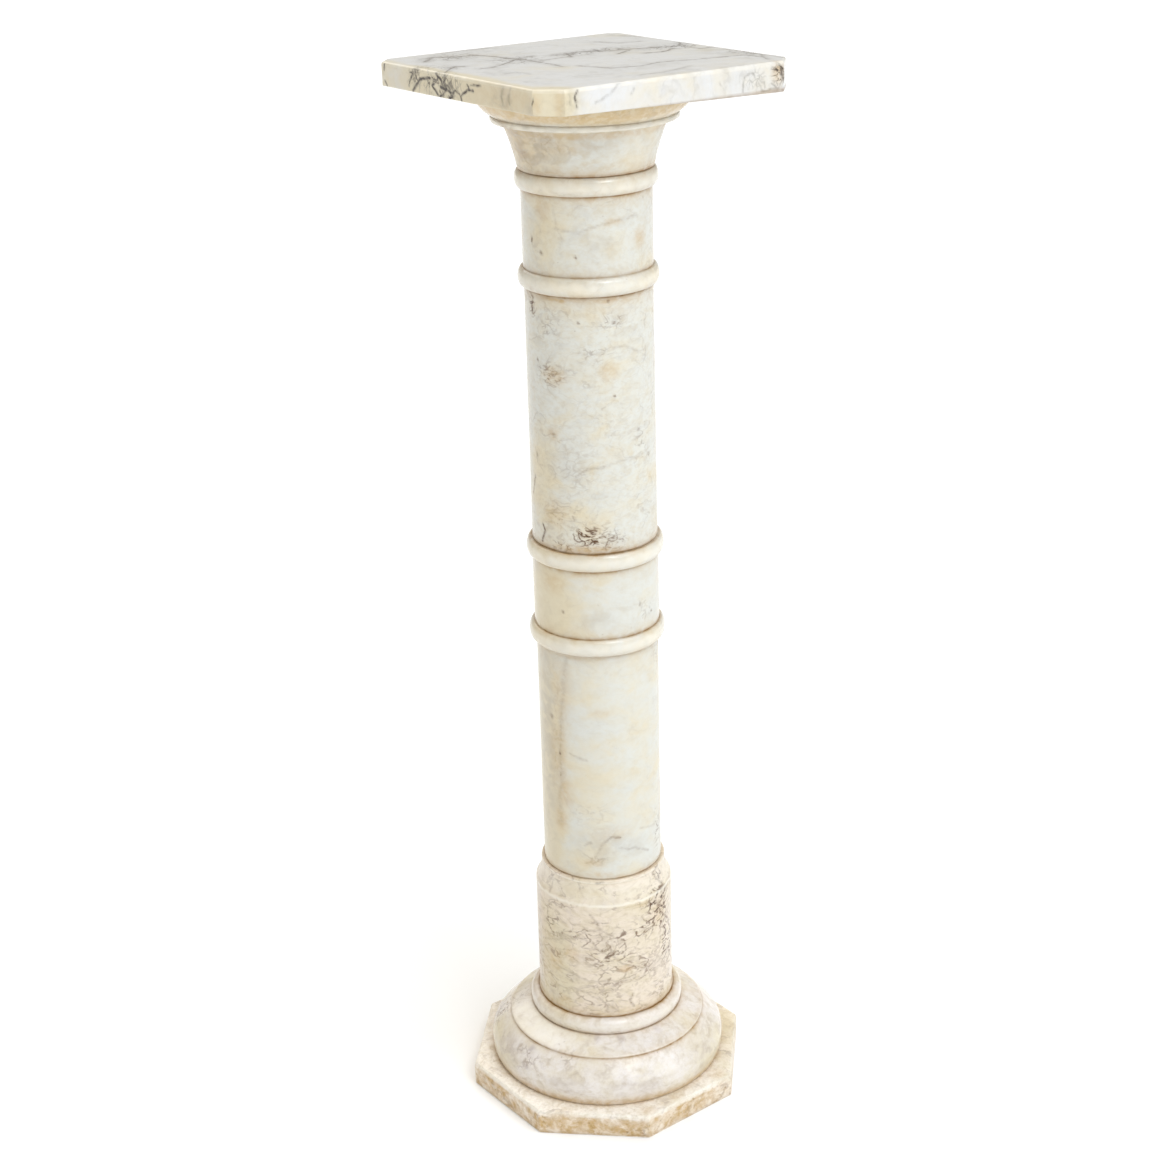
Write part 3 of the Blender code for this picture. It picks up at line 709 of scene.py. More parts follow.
TURNED_MARKS = {
    "upper_collar": {
        "strokes": [
            (1.4, 0.16, [(-29.5, 911.3), (-9.8, 907.0), (7.3, 913.7), (23.1, 916.8), (46.3, 918.8)]),
            (1.4, 0.12, [(-29.8, 930.9), (-27.5, 913.3), (-22.3, 901.1), (-24.4, 892.0)]),
        ],
        "spots": [
            ("stain", 0.4, 9, 11, (-41.5, 927.9)), ("stain", 0.4, 8, 9, (51.1, 898.1)),
            ("stain", 0.4, 8, 4, (23.1, 916.8)), ("fleck", 0.6, 1.5, 4, (-56.3, 896.9)),
            ("fleck", 0.4, 1.6, 2.4, (-44.4, 887.1)), ("fleck", 0.6, 1.3, 1.3, (-10.4, 885.4)),
            # The warm patch at turn -44 is painted warm shade on the shaded left side
            ("warm", 0.45, 22, 30, (-44.0, 900.0)), ("smoke", 0.3, 14, 12, (10.2, 892.1)),
            ("warm", 0.3, 400, 6, (0.0, 948.0)), ("warm", 0.3, 400, 6, (0.0, 858.0)),
            # The worn bands round the two rings are painted highlights
            ("worn", 0.55, 400, 6, (0.0, 948.0)), ("worn", 0.5, 400, 6, (0.0, 858.0)),
        ],
    },
    "upper_shaft": {
        "strokes": [
            (1.4, 0.6, [(-66.3, 849.0), (-58.4, 844.4), (-62.4, 834.6), (-60.3, 828.7)]),
            (1.4, 0.16, [(-10.1, 798.2), (1.2, 796.3), (16.3, 799.9), (30.7, 802.5), (46.5, 792.8)]),
            (1.3, 0.28, [(-15.9, 679.4), (-4.9, 687.7), (9.4, 689.0)]),
            (1.3, 0.14, [(9.4, 689.0), (26.5, 693.5), (56.0, 694.1)]),
            (1.3, 0.5, [(-65.6, 670.2), (-73.0, 649.8)]),
            (1.2, 0.8, [(-54.3, 625.5), (-51.0, 619.4), (-56.3, 607.7)]),
        ],
        "spots": [
            ("fleck", 0.7, 1.4, 1.4, (16.3, 845.2)), ("fleck", 0.5, 2.2, 1.8, (21.4, 824.4)),
            ("fleck", 0.55, 1.4, 1.4, (-10.3, 826.1)), ("fleck", 0.45, 1.6, 1.6, (-40.9, 814.8)),
            ("fleck", 0.5, 1.4, 1.4, (-54.1, 786.0)), ("fleck", 0.5, 2.2, 1.4, (-35.7, 775.3)),
            ("fleck", 0.4, 1.6, 1.6, (-28.5, 771.5)), ("fleck", 0.55, 1.2, 1.2, (20.0, 756.1)),
            ("web", 0.45, 16, 12, (-40.1, 775.5)), ("web", 0.9, 6, 10, (-61.0, 836.0)),
            ("web", 0.25, 14, 14, (-40.6, 821.4)), ("web", 0.35, 12, 8, (19.6, 825.4)),
            ("web", 0.28, 16, 7, (5.0, 797.0)), ("stain", 0.5, 12, 8, (-34.0, 774.0)),
            ("stain", 0.7, 24, 3.5, (-26.1, 847.2)), ("stain", 0.5, 16, 4, (9.3, 846.7)),
            ("stain", 0.5, 7, 3, (48.0, 847.0)), ("stain", 0.35, 9, 9, (15.9, 779.3)),
            ("fleck", 0.4, 2.4, 2, (-36.7, 718.6)), ("stain", 0.4, 7, 6, (-36.7, 718.6)),
            ("fleck", 0.4, 2.4, 2, (44.9, 719.6)), ("web", 0.3, 8, 12, (49.0, 708.0)),
            ("fleck", 0.4, 1.6, 3, (-59.8, 693.7)), ("fleck", 0.4, 2.4, 2.4, (59.5, 692.1)),
            ("web", 0.1, 20, 16, (-24.9, 690.6)), ("smoke", 0.25, 20, 16, (-24.9, 690.6)),
            ("web", 0.95, 18, 10, (-3.6, 620.5)), ("fleck", 1.0, 3, 1.8, (-1.9, 624.5)),
            ("web", 0.6, 12, 10, (15.3, 616.2)), ("web", 0.25, 20, 12, (-28.7, 641.8)),
            ("web", 0.5, 12, 6, (-31.8, 608.9)), ("stain", 0.65, 34, 6, (-9.5, 606.4)),
            ("stain", 0.3, 14, 10, (-2.0, 622.0)), ("stain", 0.3, 16, 14, (-38.0, 640.0)),
            # The warm patches on the left are painted warm shade on the shaded side
            ("warm", 0.6, 24, 50, (-52.4, 672.7)), ("warm", 0.4, 34, 22, (-33.1, 632.7)),
        ],
    },
    "middle_collar": {
        "spots": [
            ("stain", 0.3, 14, 12, (-43.6, 570.0)), ("fleck", 0.4, 1.8, 1.8, (-32.0, 541.9)),
            ("fleck", 0.4, 1.5, 3, (42.4, 545.4)), ("fleck", 0.45, 1.5, 2, (58.3, 533.5)),
            ("web", 0.25, 8, 10, (50.0, 538.0)), ("smoke", 0.25, 20, 10, (0.0, 535.0)),
            # The warm patch at turn -54.5 is painted warm shade on the shaded left side
            ("warm", 0.8, 34, 60, (-54.5, 546.0)), ("stain", 0.4, 24, 4, (-6.9, 516.0)),
            # The worn bands round the two rings are painted highlights
            ("worn", 0.55, 400, 6, (0.0, 594.2)), ("worn", 0.55, 400, 6, (0.0, 506.9)),
        ],
    },
    "lower_shaft": {
        "strokes": [
            (4.0, 0.13, [(-31.3, 491.4), (-35.8, 458.4), (-39.4, 425.2), (-41.2, 389.7), (-40.4, 363.5),
                         (-44.1, 335.5), (-43.7, 310.9)]),
            (1.6, 0.2, [(-37.5, 445.0), (-39.4, 425.2), (-41.2, 389.7), (-40.4, 363.5)]),
            (1.4, 0.2, [(-30.2, 390.6), (-22.0, 388.0), (-14.0, 386.8)]),
            (1.4, 0.42, [(3.1, 297.2), (9.9, 301.1), (16.8, 298.8)]),
            (1.6, 0.18, [(-10.9, 273.2), (-0.8, 291.7), (3.1, 297.2)]),
            (1.4, 0.2, [(16.6, 287.6), (25.8, 284.2), (33.7, 284.0), (49.5, 274.2)]),
            (1.4, 0.25, [(-17.4, 290.7), (-11.4, 294.8)]),
            (1.3, 0.14, [(39.0, 303.7), (70.9, 295.3)]),
        ],
        "spots": [
            ("fleck", 0.4, 3, 2.5, (-51.6, 425.4)), ("fleck", 0.65, 1.5, 1.5, (-42.0, 387.7)),
            ("fleck", 0.4, 1.2, 3, (-41.6, 365.3)), ("stain", 0.26, 12, 40, (-37.8, 456.3)),
            ("stain", 0.26, 12, 40, (-44.0, 385.0)), ("web", 0.12, 8, 90, (-42.0, 400.0)),
            ("smoke", 0.38, 18, 110, (-60.0, 400.0)), ("warm", 0.2, 34, 130, (-24.0, 390.0)),
            ("stain", 0.4, 10, 16, (-36.4, 345.8)), ("stain", 0.35, 9, 14, (-43.6, 313.1)),
            ("stain", 0.2, 11, 5, (0.4, 437.1)), ("stain", 0.3, 12, 6, (-10.8, 271.8)),
            ("web", 0.25, 14, 8, (-8.8, 277.8)), ("smoke", 0.3, 26, 18, (0.0, 290.0)),
            ("web", 0.5, 8, 22, (67.8, 292.5)), ("stain", 0.2, 18, 8, (10.0, 305.0)),
            ("web", 0.12, 22, 14, (-11.6, 326.2)), ("smoke", 0.2, 20, 10, (30.0, 285.0)),
            # The warm patch at turn -62 is painted warm shade on the shaded left side
            ("warm", 0.8, 26, 150, (-62.0, 376.2)), ("stain", 0.35, 22, 4, (-27.0, 495.4)),
            ("stain", 0.35, 16, 5, (-3.5, 257.6)),
        ],
    },
    "base_drum": {
        "strokes": [
            (1.3, 0.3, [(-66.8, 168.7), (-38.0, 182.7), (-21.4, 189.5), (-10.3, 185.6), (-6.2, 176.5)]),
            (1.3, 0.3, [(-39.9, 188.9), (-26.9, 189.2), (-15.1, 199.0), (-4.1, 201.2), (5.7, 193.7)]),
            (1.3, 0.3, [(-4.1, 201.2), (-5.7, 208.1), (-12.1, 218.0)]),
            (1.3, 0.4, [(22.8, 121.2), (20.0, 114.9), (23.5, 106.5)]),
            (1.3, 0.6, [(-6.5, 250.9), (-0.7, 251.4)]),
            (1.4, 0.5, [(58.2, 250.2), (52.0, 246.4), (61.3, 231.4), (56.1, 225.4)]),
            (1.4, 0.55, [(61.1, 217.5), (50.0, 213.8), (55.7, 202.2), (69.1, 186.2), (74.9, 167.7)]),
            (1.3, 0.35, [(68.2, 148.6), (84.9, 120.2)]),
            (1.3, 0.35, [(-24.5, 249.1), (-22.0, 240.5)]),
            (1.3, 0.35, [(-54.0, 243.7), (-53.1, 230.2)]),
            (1.3, 0.28, [(-6.2, 176.5), (6.0, 170.0), (14.0, 160.0), (28.0, 152.0), (36.0, 146.0)]),
            (1.3, 0.25, [(-50.0, 150.0), (-30.0, 146.0), (-14.0, 139.0), (4.0, 141.0), (22.0, 136.0)]),
            (1.3, 0.22, [(-48.0, 124.0), (-24.0, 128.0), (-4.0, 118.0), (10.0, 104.0)]),
        ],
        "spots": [
            ("web", 1.3, 17, 24, (52.3, 211.3)), ("web", 1.0, 13, 28, (65.5, 164.7)),
            ("stain", 0.35, 12, 16, (53.0, 206.0)), ("web", 0.7, 16, 10, (40.0, 196.0)),
            ("web", 0.6, 24, 16, (6.2, 168.6)), ("web", 0.6, 24, 12, (22.9, 191.2)),
            ("web", 0.5, 20, 12, (-18.7, 190.1)), ("web", 0.5, 16, 14, (-49.2, 196.1)),
            ("web", 0.45, 20, 18, (31.9, 151.6)), ("web", 0.4, 18, 14, (4.0, 142.0)),
            ("web", 0.3, 28, 14, (-5.7, 118.3)), ("web", 0.8, 10, 12, (58.0, 242.8)),
            ("web", 0.4, 12, 10, (-54.0, 243.7)), ("fleck", 0.6, 2.0, 1.5, (-49.1, 198.5)),
            ("fleck", 0.6, 1.8, 1.4, (-38.8, 189.4)), ("fleck", 0.6, 1.8, 1.4, (-15.1, 199.0)),
            ("fleck", 0.5, 1.8, 1.4, (-5.7, 208.1)), ("fleck", 0.7, 2.4, 2.8, (60.9, 209.4)),
            ("fleck", 0.6, 1.8, 1.8, (49.9, 205.7)), ("stain", 0.6, 7, 4, (17.0, 152.8)),
            ("stain", 0.4, 10, 7, (-30.3, 168.0)), ("stain", 0.4, 12, 14, (-49.5, 155.6)),
            ("stain", 0.35, 10, 6, (-38.0, 109.8)), ("smoke", 0.25, 16, 12, (2.3, 189.3)),
            # The warm patch at turn -52.4 is painted warm shade on the shaded left side
            ("smoke", 0.25, 18, 10, (45.0, 145.0)), ("warm", 0.9, 34, 60, (-52.4, 148.5)),
            ("stain", 0.22, 20, 60, (-64.0, 160.0)), ("smoke", 0.4, 12, 70, (-76.0, 170.0)),
            # The worn bands on the neck, the shoulder's ridge and the lip are painted highlights
            ("worn", 0.35, 400, 10, (0.0, 241.0)), ("worn", 0.7, 400, 1.6, (0.0, 228.0)),
            ("worn", 0.6, 400, 1.4, (0.0, 250.5)),
        ],
    },
    "base_torus": {
        "spots": [
            ("smoke", 0.4, 24, 14, (-63.4, 52.2)), ("smoke", 0.9, 5, 5, (-46.8, 62.1)),
            ("web", 0.3, 16, 12, (-48.0, 56.0)), ("smoke", 0.7, 6, 3, (-46.4, 49.8)),
            ("smoke", 0.5, 4, 3, (-7.6, 82.0)), ("smoke", 0.5, 5, 3, (9.4, 80.8)),
            ("smoke", 0.5, 5, 3, (37.5, 80.1)), ("smoke", 0.35, 18, 14, (57.8, 44.1)),
            ("smoke", 0.3, 20, 8, (9.0, 45.4)), ("smoke", 0.35, 18, 8, (-21.0, 45.7)),
            ("web", 0.3, 8, 6, (-22.9, 66.2)), ("warm", 0.6, 40, 20, (68.0, 40.0)),
            # The worn patch at turn -62 is painted light on the shaded left shoulder
            ("warm", 0.6, 40, 18, (-75.0, 42.0)), ("worn", 0.6, 70, 12, (-62.0, 76.0)),
            # The worn band round the bead is a painted highlight
            ("worn", 0.4, 400, 5, (0.0, 90.0)), ("stain", 0.65, 400, 7, (0.0, 26.0)),
            ("smoke", 0.35, 22, 12, (14.0, 47.0)),
        ],
    },
    "capital": {
        "spots": [
            # Painted shade: the warm and stain bands round the moulding under the slab
            ("warm", 0.9, 300, 9, (0.0, 1016.0)), ("stain", 0.6, 300, 8, (0.0, 1014.0)),
            # Painted shade: the stain and warm patches here and the strong smoke patch at turn -58 darken the
            # bell's shaded left side
            ("stain", 0.35, 46, 26, (-66.0, 985.0)), ("warm", 0.6, 46, 30, (-56.0, 985.0)),
            ("smoke", 0.3, 25, 14, (5.0, 990.0)), ("smoke", 0.75, 50, 30, (-58.0, 985.0)),
            ("web", 0.14, 14, 10, (-30.0, 985.0)), ("stain", 0.35, 16, 6, (-25.0, 962.0)),
            # The worn band round the bead is a painted highlight
            ("stain", 0.25, 26, 8, (-20.0, 985.0)), ("worn", 0.7, 400, 2.2, (0.0, 1001.6)),
            # Painted light on the bell's lit right side (the worn patch at turn 48) and a painted shadow under the
            # bead (the stain band at 995 mm)
            ("worn", 0.25, 34, 26, (48.0, 985.0)), ("stain", 0.45, 400, 4, (0.0, 995.0)),
        ],
    },
}

# Level of the slab's top, its mean thickness, and the run over which its underside slopes
SLAB_TOP_MM = 1050
SLAB_THICKNESS_MM = 23.5
SLAB_SLOPE_MM = 230

# Drawn veins of the slab: (half width, strength, path) in mm, with paths of (x, y) on its top
SLAB_TOP_VEINS = [
    (2.0, 0.5, [(-109, 89), (-89, 110), (-73, 97), (-54, 92), (-47, 75), (-42, 46), (-38, 28), (-39, 11)]),
    (1.6, 0.4, [(-99, 16), (-89, 15), (-71, 23), (-45, 41), (-20, 51)]),
    (1.8, 0.35, [(-39, 11), (-38, -3), (-40, -24)]),
    (2.0, 0.5, [(-4, 43), (8, 35), (25, 42), (42, 33), (56, 28), (78, 19), (100, 15), (113, 7), (128, 24)]),
    (1.6, 0.45, [(13, 45), (1, 20)]),
    (1.4, 0.35, [(-27, 21), (-2, 23), (25, 42)]),
    (1.4, 0.45, [(42, 5), (54, 11), (65, 19)]),
    (1.6, 0.5, [(63, -8), (77, -14), (99, -3)]),
    (1.6, 0.4, [(114, 6), (116, -21), (132, -22)]),
    (1.6, 0.45, [(133, -30), (134, -84), (135, -98), (131, -118)]),
    (1.6, 0.35, [(-27, -33), (-16, -62), (9, -71), (36, -64), (62, -73), (93, -78), (116, -84), (118, -105),
                 (113, -118)]),
    (1.6, 0.3, [(77, 87), (88, 64), (110, 61)]),
    (1.4, 0.5, [(-134, 18), (-117, 35), (-105, 45), (-100, 39)]),
    (1.4, 0.25, [(-100, -25), (-88, -22), (-85, -41)]),
    (1.4, 0.25, [(117, 118), (128, 85)]),
    (1.6, 0.3, [(-71, 125), (-40, 131), (-16, 125)]),
    (1.4, 0.35, [(134, -84), (119, -105)]),
    (1.5, 0.25, [(-23, -113), (2, -115), (39, -102)]),
]

# Paths of (y, z) on the slab's left side and of (x, z) on its right side
SLAB_LEFT_VEINS = [
    (1.2, 0.85, [(68.8, 1050.3), (67.6, 1045.2), (73.4, 1038.6), (75.7, 1033.2)]),
    (1.0, 0.8, [(62.0, 1050.9), (64.4, 1044.7), (61.5, 1039.8)]),
    (1.0, 0.7, [(72.6, 1045.6), (64.4, 1044.7), (57.3, 1048.8)]),
    (1.6, 1.0, [(61.9, 1036.4), (56.4, 1041.2), (51.3, 1042.6), (39.6, 1043.8)]),
    (1.5, 1.0, [(69.3, 1029.6), (65.6, 1033.4), (60.0, 1038.3), (56.4, 1041.2)]),
    (1.5, 0.95, [(30.9, 1049.7), (28.0, 1046.6), (21.8, 1043.9), (19.0, 1039.1), (16.1, 1036.0)]),
    (1.5, 0.95, [(17.9, 1051.0), (15.2, 1045.4), (19.0, 1039.1)]),
    (1.2, 0.8, [(24.5, 1048.7), (28.3, 1043.2), (37.0, 1037.2), (30.9, 1033.6), (27.9, 1030.5)]),
    (1.8, 1.0, [(22.4, 1037.1), (14.4, 1037.1), (8.2, 1035.2), (5.2, 1032.1), (10.3, 1029.0)]),
    (1.3, 0.9, [(14.5, 1035.4), (19.7, 1031.4), (24.8, 1029.2)]),
    (1.5, 1.0, [(6.7, 1033.7), (-1.5, 1037.1), (-6.2, 1035.9), (-9.1, 1032.8), (-8.8, 1030.3)]),
    (1.1, 0.8, [(-5.0, 1040.8), (-1.5, 1037.1)]),
    (1.4, 0.95, [(-9.1, 1033.7), (-15.8, 1037.7), (-23.8, 1040.2), (-28.4, 1039.9)]),
    (1.2, 0.8, [(-19.4, 1043.9), (-23.8, 1040.2)]),
    (1.0, 0.6, [(-24.0, 1043.6), (-39.6, 1045.2)]),
    (2.0, 0.2, [(-74.3, 1047.2), (-70.8, 1040.3), (-73.4, 1034.1)]),
    (1.4, 0.2, [(-86.3, 1050.1), (-82.9, 1043.2), (-81.1, 1038.2), (-83.8, 1034.4)]),
    (1.2, 0.75, [(116.8, 1049.1), (117.5, 1042.9)]),
    (1.2, 0.75, [(117.0, 1032.4), (114.0, 1030.0)]),
    (0.9, 0.45, [(-118.0, 1048.6), (-115.8, 1035.6), (-116.5, 1028.0)]),
]
SLAB_RIGHT_VEINS = [
    (1.0, 0.9, [(-103.0, 1050.1), (-105.1, 1045.6), (-106.2, 1043.3), (-105.3, 1039.2), (-104.4, 1035.1)]),
    (0.9, 0.4, [(-112.0, 1046.3), (-110.3, 1038.2)]),
    (1.2, 0.25, [(-60.5, 1051.2), (-66.8, 1044.6), (-75.1, 1039.9), (-86.3, 1036.3)]),
    (1.2, 0.3, [(-46.2, 1044.0), (-48.4, 1039.4)]),
    (1.2, 0.2, [(45.3, 1038.4), (49.7, 1032.1)]),
    (1.1, 0.36, [(70.8, 1028.2), (70.7, 1034.9), (74.0, 1041.3), (78.5, 1043.3), (83.0, 1042.0), (86.4, 1036.6),
                 (89.8, 1031.2), (92.1, 1027.5)]),
    (1.1, 0.3, [(87.5, 1033.1), (94.3, 1034.1), (95.5, 1029.7)]),
    (1.1, 0.35, [(105.6, 1041.4), (108.9, 1046.1), (107.7, 1051.3)]),
    (1.1, 0.4, [(103.4, 1031.4), (108.0, 1028.4)]),
    (1.6, 0.75, [(107.7, 1053.0), (111.2, 1047.6), (113.5, 1042.3), (115.9, 1035.2)]),
    (1.1, 0.4, [(92.0, 1026.5), (111.4, 1027.2)]),
]

# Spots of the two blocks: (kind, strength, half sizes along x, y and z, centre) in mm
SLAB_SPOTS = [
    # Painted warm shade: the two full warm spots on the left face and its front corner
    ("warm", 1.0, (12, 190, 60), (-135, 0, 1038)), ("warm", 1.0, (24, 24, 60), (-126, -126, 1038)),
    ("warm", 0.3, (190, 12, 60), (0, -135, 1038)), ("stain", 0.22, (6, 60, 14), (-135, -80, 1040)),
    ("web", 0.6, (9, 36, 16), (-135, 26, 1040)), ("web", 0.6, (12, 16, 16), (-130, 62, 1044)),
    ("smoke", 0.35, (8, 8, 9), (-135, -76, 1040)), ("smoke", 0.16, (40, 40, 6), (-70, 90, 1050)),
    ("smoke", 0.2, (60, 24, 6), (60, 20, 1050)), ("smoke", 0.2, (24, 50, 6), (118, -60, 1050)),
    ("smoke", 0.14, (60, 20, 6), (20, -72, 1050)), ("web", 0.6, (30, 20, 6), (-75, 98, 1050)),
    ("web", 0.6, (26, 24, 6), (-44, 38, 1050)), ("web", 0.65, (44, 14, 6), (38, 36, 1050)),
    ("web", 0.65, (28, 16, 6), (108, 8, 1050)), ("web", 0.45, (12, 28, 5), (128, -70, 1050)),
    ("web", 0.6, (10, 14, 6), (-112, 42, 1050)), ("stain", 0.6, (7, 9, 11), (111, -135, 1042)),
    ("web", 0.8, (9, 9, 12), (113, -135, 1041)), ("web", 0.25, (12, 9, 10), (84, -135, 1037)),
    ("smoke", 0.25, (12, 9, 14), (-110, -135, 1040)), ("stain", 0.35, (5, 5, 14), (-121, -134, 1038)),
    ("stain", 0.35, (5, 5, 14), (-134, -119, 1038)),
]

PLINTH_SPOTS = [
    ("stain", 0.9, (22, 22, 14), (-112, -78, 10)), ("stain", 0.9, (12, 12, 14), (-44, -127, 12)),
    ("stain", 0.8, (24, 10, 12), (-14, -127, 13)), ("stain", 0.8, (12, 12, 12), (50, -122, 14)),
    ("stain", 0.6, (12, 20, 12), (-133, 34, 12)), ("stain", 0.5, (20, 20, 10), (110, 60, 12)),
    # Painted shade: the warm and stain patches on the right and front right of the top darken and warm it
    ("warm", 0.7, (60, 60, 9), (110, -75, 25)), ("stain", 0.2, (50, 50, 9), (110, -70, 25)),
    ("stain", 0.2, (16, 40, 9), (132, -20, 25)), ("warm", 0.25, (60, 30, 9), (10, -130, 25)),
]
PLINTH_VEINS = [(0.9, 0.6, [(-92, -92, 18), (-96, -98, 13), (-99, -96, 8)])]


def unrolled(marks, reference):
    """A turned stone's marks with their turns measured along its surface in mm."""
    arc_mm = math.radians(1) * reference / MM
    spots = [(kind, strength, (across, tall), (turn * arc_mm, height))
             for kind, strength, across, tall, (turn, height) in marks.get("spots", [])]
    strokes = [(width, strength, [(turn * arc_mm, height) for turn, height in path])
               for width, strength, path in marks.get("strokes", [])]
    return {"spots": spots, "strokes": strokes}


def scattered(marks, seed, reference, low, high, count):
    """More spots of web, stain and warmth round the far side, so the stone has no bare side."""
    dice = random.Random(seed)
    spots = list(marks.get("spots", []))
    for kind, strongest, widest in (("web", 0.45, 34), ("warm", 0.7, 34), ("stain", 0.35, 12), ("smoke", 0.5, 24)):
        for _ in range(count):
            place = (dice.uniform(85, 275), dice.uniform(low, high))
            spots.append((kind, strongest * dice.uniform(0.4, 1), widest * dice.uniform(0.5, 1),
                          widest * dice.uniform(0.4, 1), place))
    return dict(marks, spots=spots)


def make_turned(node, outline, columns, reference, creases, seed, count):
    """A turned stone with its own marble; reference is the radius at which its marks are measured, and count
    the number of spots of each kind round its far side."""
    scene = bpy.context.scene
    low, high = (corner.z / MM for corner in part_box(node))
    marks = scattered(TURNED_MARKS.get(node, {}), seed, reference, low, high, count)
    material = marble("polished_marble_" + node, MIXES[node], scene.marble_colours)
    turned_stone(node, outline, columns, reference, creases, unrolled(marks, reference), material, seed)


def make_shaft(node, head, foot, creases, seed):
    low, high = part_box(node)
    make_turned(node, [(head, high.z), (foot, low.z)], 272, head, creases, seed, 4)


def make_collar(node, radius, creases, seed):
    sizes = bpy.context.scene.turned_sizes
    low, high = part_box(node)
    root = radius + sizes.ring_root
    proud = sizes.ring_proud - sizes.ring_root
    outline = roll(root, proud, high.z, sizes.ring_height)
    outline.append((radius, high.z - sizes.ring_height))
    outline.append((radius, low.z + sizes.ring_height))
    outline += roll(root, proud, low.z + sizes.ring_height, sizes.ring_height)
    make_turned(node, outline, 272, radius, creases, seed, 3)


class PEDESTAL_OT_shafts(bpy.types.Operator):
    """The two plain shafts"""

    bl_idname = "pedestal.shafts"
    bl_label = "Shafts"

    def execute(self, context):
        sizes = context.scene.turned_sizes
        make_shaft("lower_shaft", sizes.shaft_radius, sizes.shaft_radius,
                   [(59.7, 498.2, 2.2, 0.7), (59.7, 253.4, 1.5, 0.9)], 11)
        make_shaft("upper_shaft", sizes.shaft_radius, sizes.upper_shaft_foot,
                   [(59.7, 849.2, 2.8, 0.9), (60.4, 603.0, 2.6, 0.9)], 12)
        return {"FINISHED"}


class PEDESTAL_OT_collars(bpy.types.Operator):
    """The two ringed collars"""

    bl_idname = "pedestal.collars"
    bl_label = "Collars"

    def execute(self, context):
        sizes = context.scene.turned_sizes
        make_collar("middle_collar", sizes.middle_collar_radius,
                    [(61.8, 602.8, 2.0, 0.9), (61.2, 585.6, 2.0, 0.8), (61.2, 515.5, 2.0, 0.8),
                     (61.8, 498.3, 2.0, 0.8)], 13)
        make_collar("upper_collar", sizes.upper_collar_radius,
                    [(60.8, 956.6, 2.2, 0.95), (60.2, 939.4, 2.0, 0.8), (60.2, 866.6, 2.0, 0.7),
                     (60.8, 849.4, 2.0, 0.9)], 14)
        return {"FINISHED"}


class PEDESTAL_OT_capital(bpy.types.Operator):
    """The bell, bead and moulding under the slab"""

    bl_idname = "pedestal.capital"
    bl_label = "Capital"

    def execute(self, context):
        sizes = context.scene.turned_sizes
        low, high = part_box("capital")
        bell_top = low.z + sizes.bell_height
        bead_top = bell_top + sizes.capital_bead_height
        ovolo_top = bead_top + sizes.ovolo_height
        outline = [(sizes.ovolo_head, high.z)]
        outline += reversed(flare(sizes.ovolo_root, sizes.ovolo_head, bead_top, ovolo_top, -0.8))
        outline += roll(sizes.capital_bead_root, sizes.capital_bead_proud, bead_top, sizes.capital_bead_height, 10)
        outline += reversed(flare(sizes.bell_foot, sizes.bell_head, low.z, bell_top, 0.4))
        # The creases under the slab and round the bead are dirt and painted shade
        creases = [(84.3, 1004.9, 1.3, 0.2), (79.0, 999.4, 1.6, 0.3), (62.2, 956.9, 2.4, 0.9),
                   (98.3, 1026.2, 3.0, 0.6)]
        make_turned("capital", outline, 272, sizes.bell_head, creases, 15, 2)
        return {"FINISHED"}


class PEDESTAL_OT_base_drum(bpy.types.Operator):
    """The base drum with its shoulder, hollowed neck and lip"""

    bl_idname = "pedestal.base_drum"
    bl_label = "Base drum"

    def execute(self, context):
        sizes = context.scene.turned_sizes
        low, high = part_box("base_drum")
        rounding = 1.0 * MM
        drum_top = low.z + sizes.drum_height
        neck_foot = drum_top + sizes.drum_rounding
        neck_top = high.z - sizes.lip_height
        neck_radius = sizes.lip_radius - rounding
        shoulder = sizes.drum_radius - rounding
        outline = roll(neck_radius, rounding, high.z, sizes.lip_height, 8)[:-1]
        outline += flare(neck_radius, shoulder, neck_top, neck_foot, 0.6)[:-1]
        outline += arc((shoulder, drum_top), (rounding, sizes.drum_rounding), 90, 0, 6)
        outline.append((sizes.drum_radius, low.z + 4 * MM))
        outline.append((sizes.drum_foot_radius, low.z))
        creases = [(60.0, 253.2, 1.0, 0.8), (70.6, 98.3, 2.2, 0.95)]
        make_turned("base_drum", outline, 288, sizes.drum_radius, creases, 16, 5)
        return {"FINISHED"}


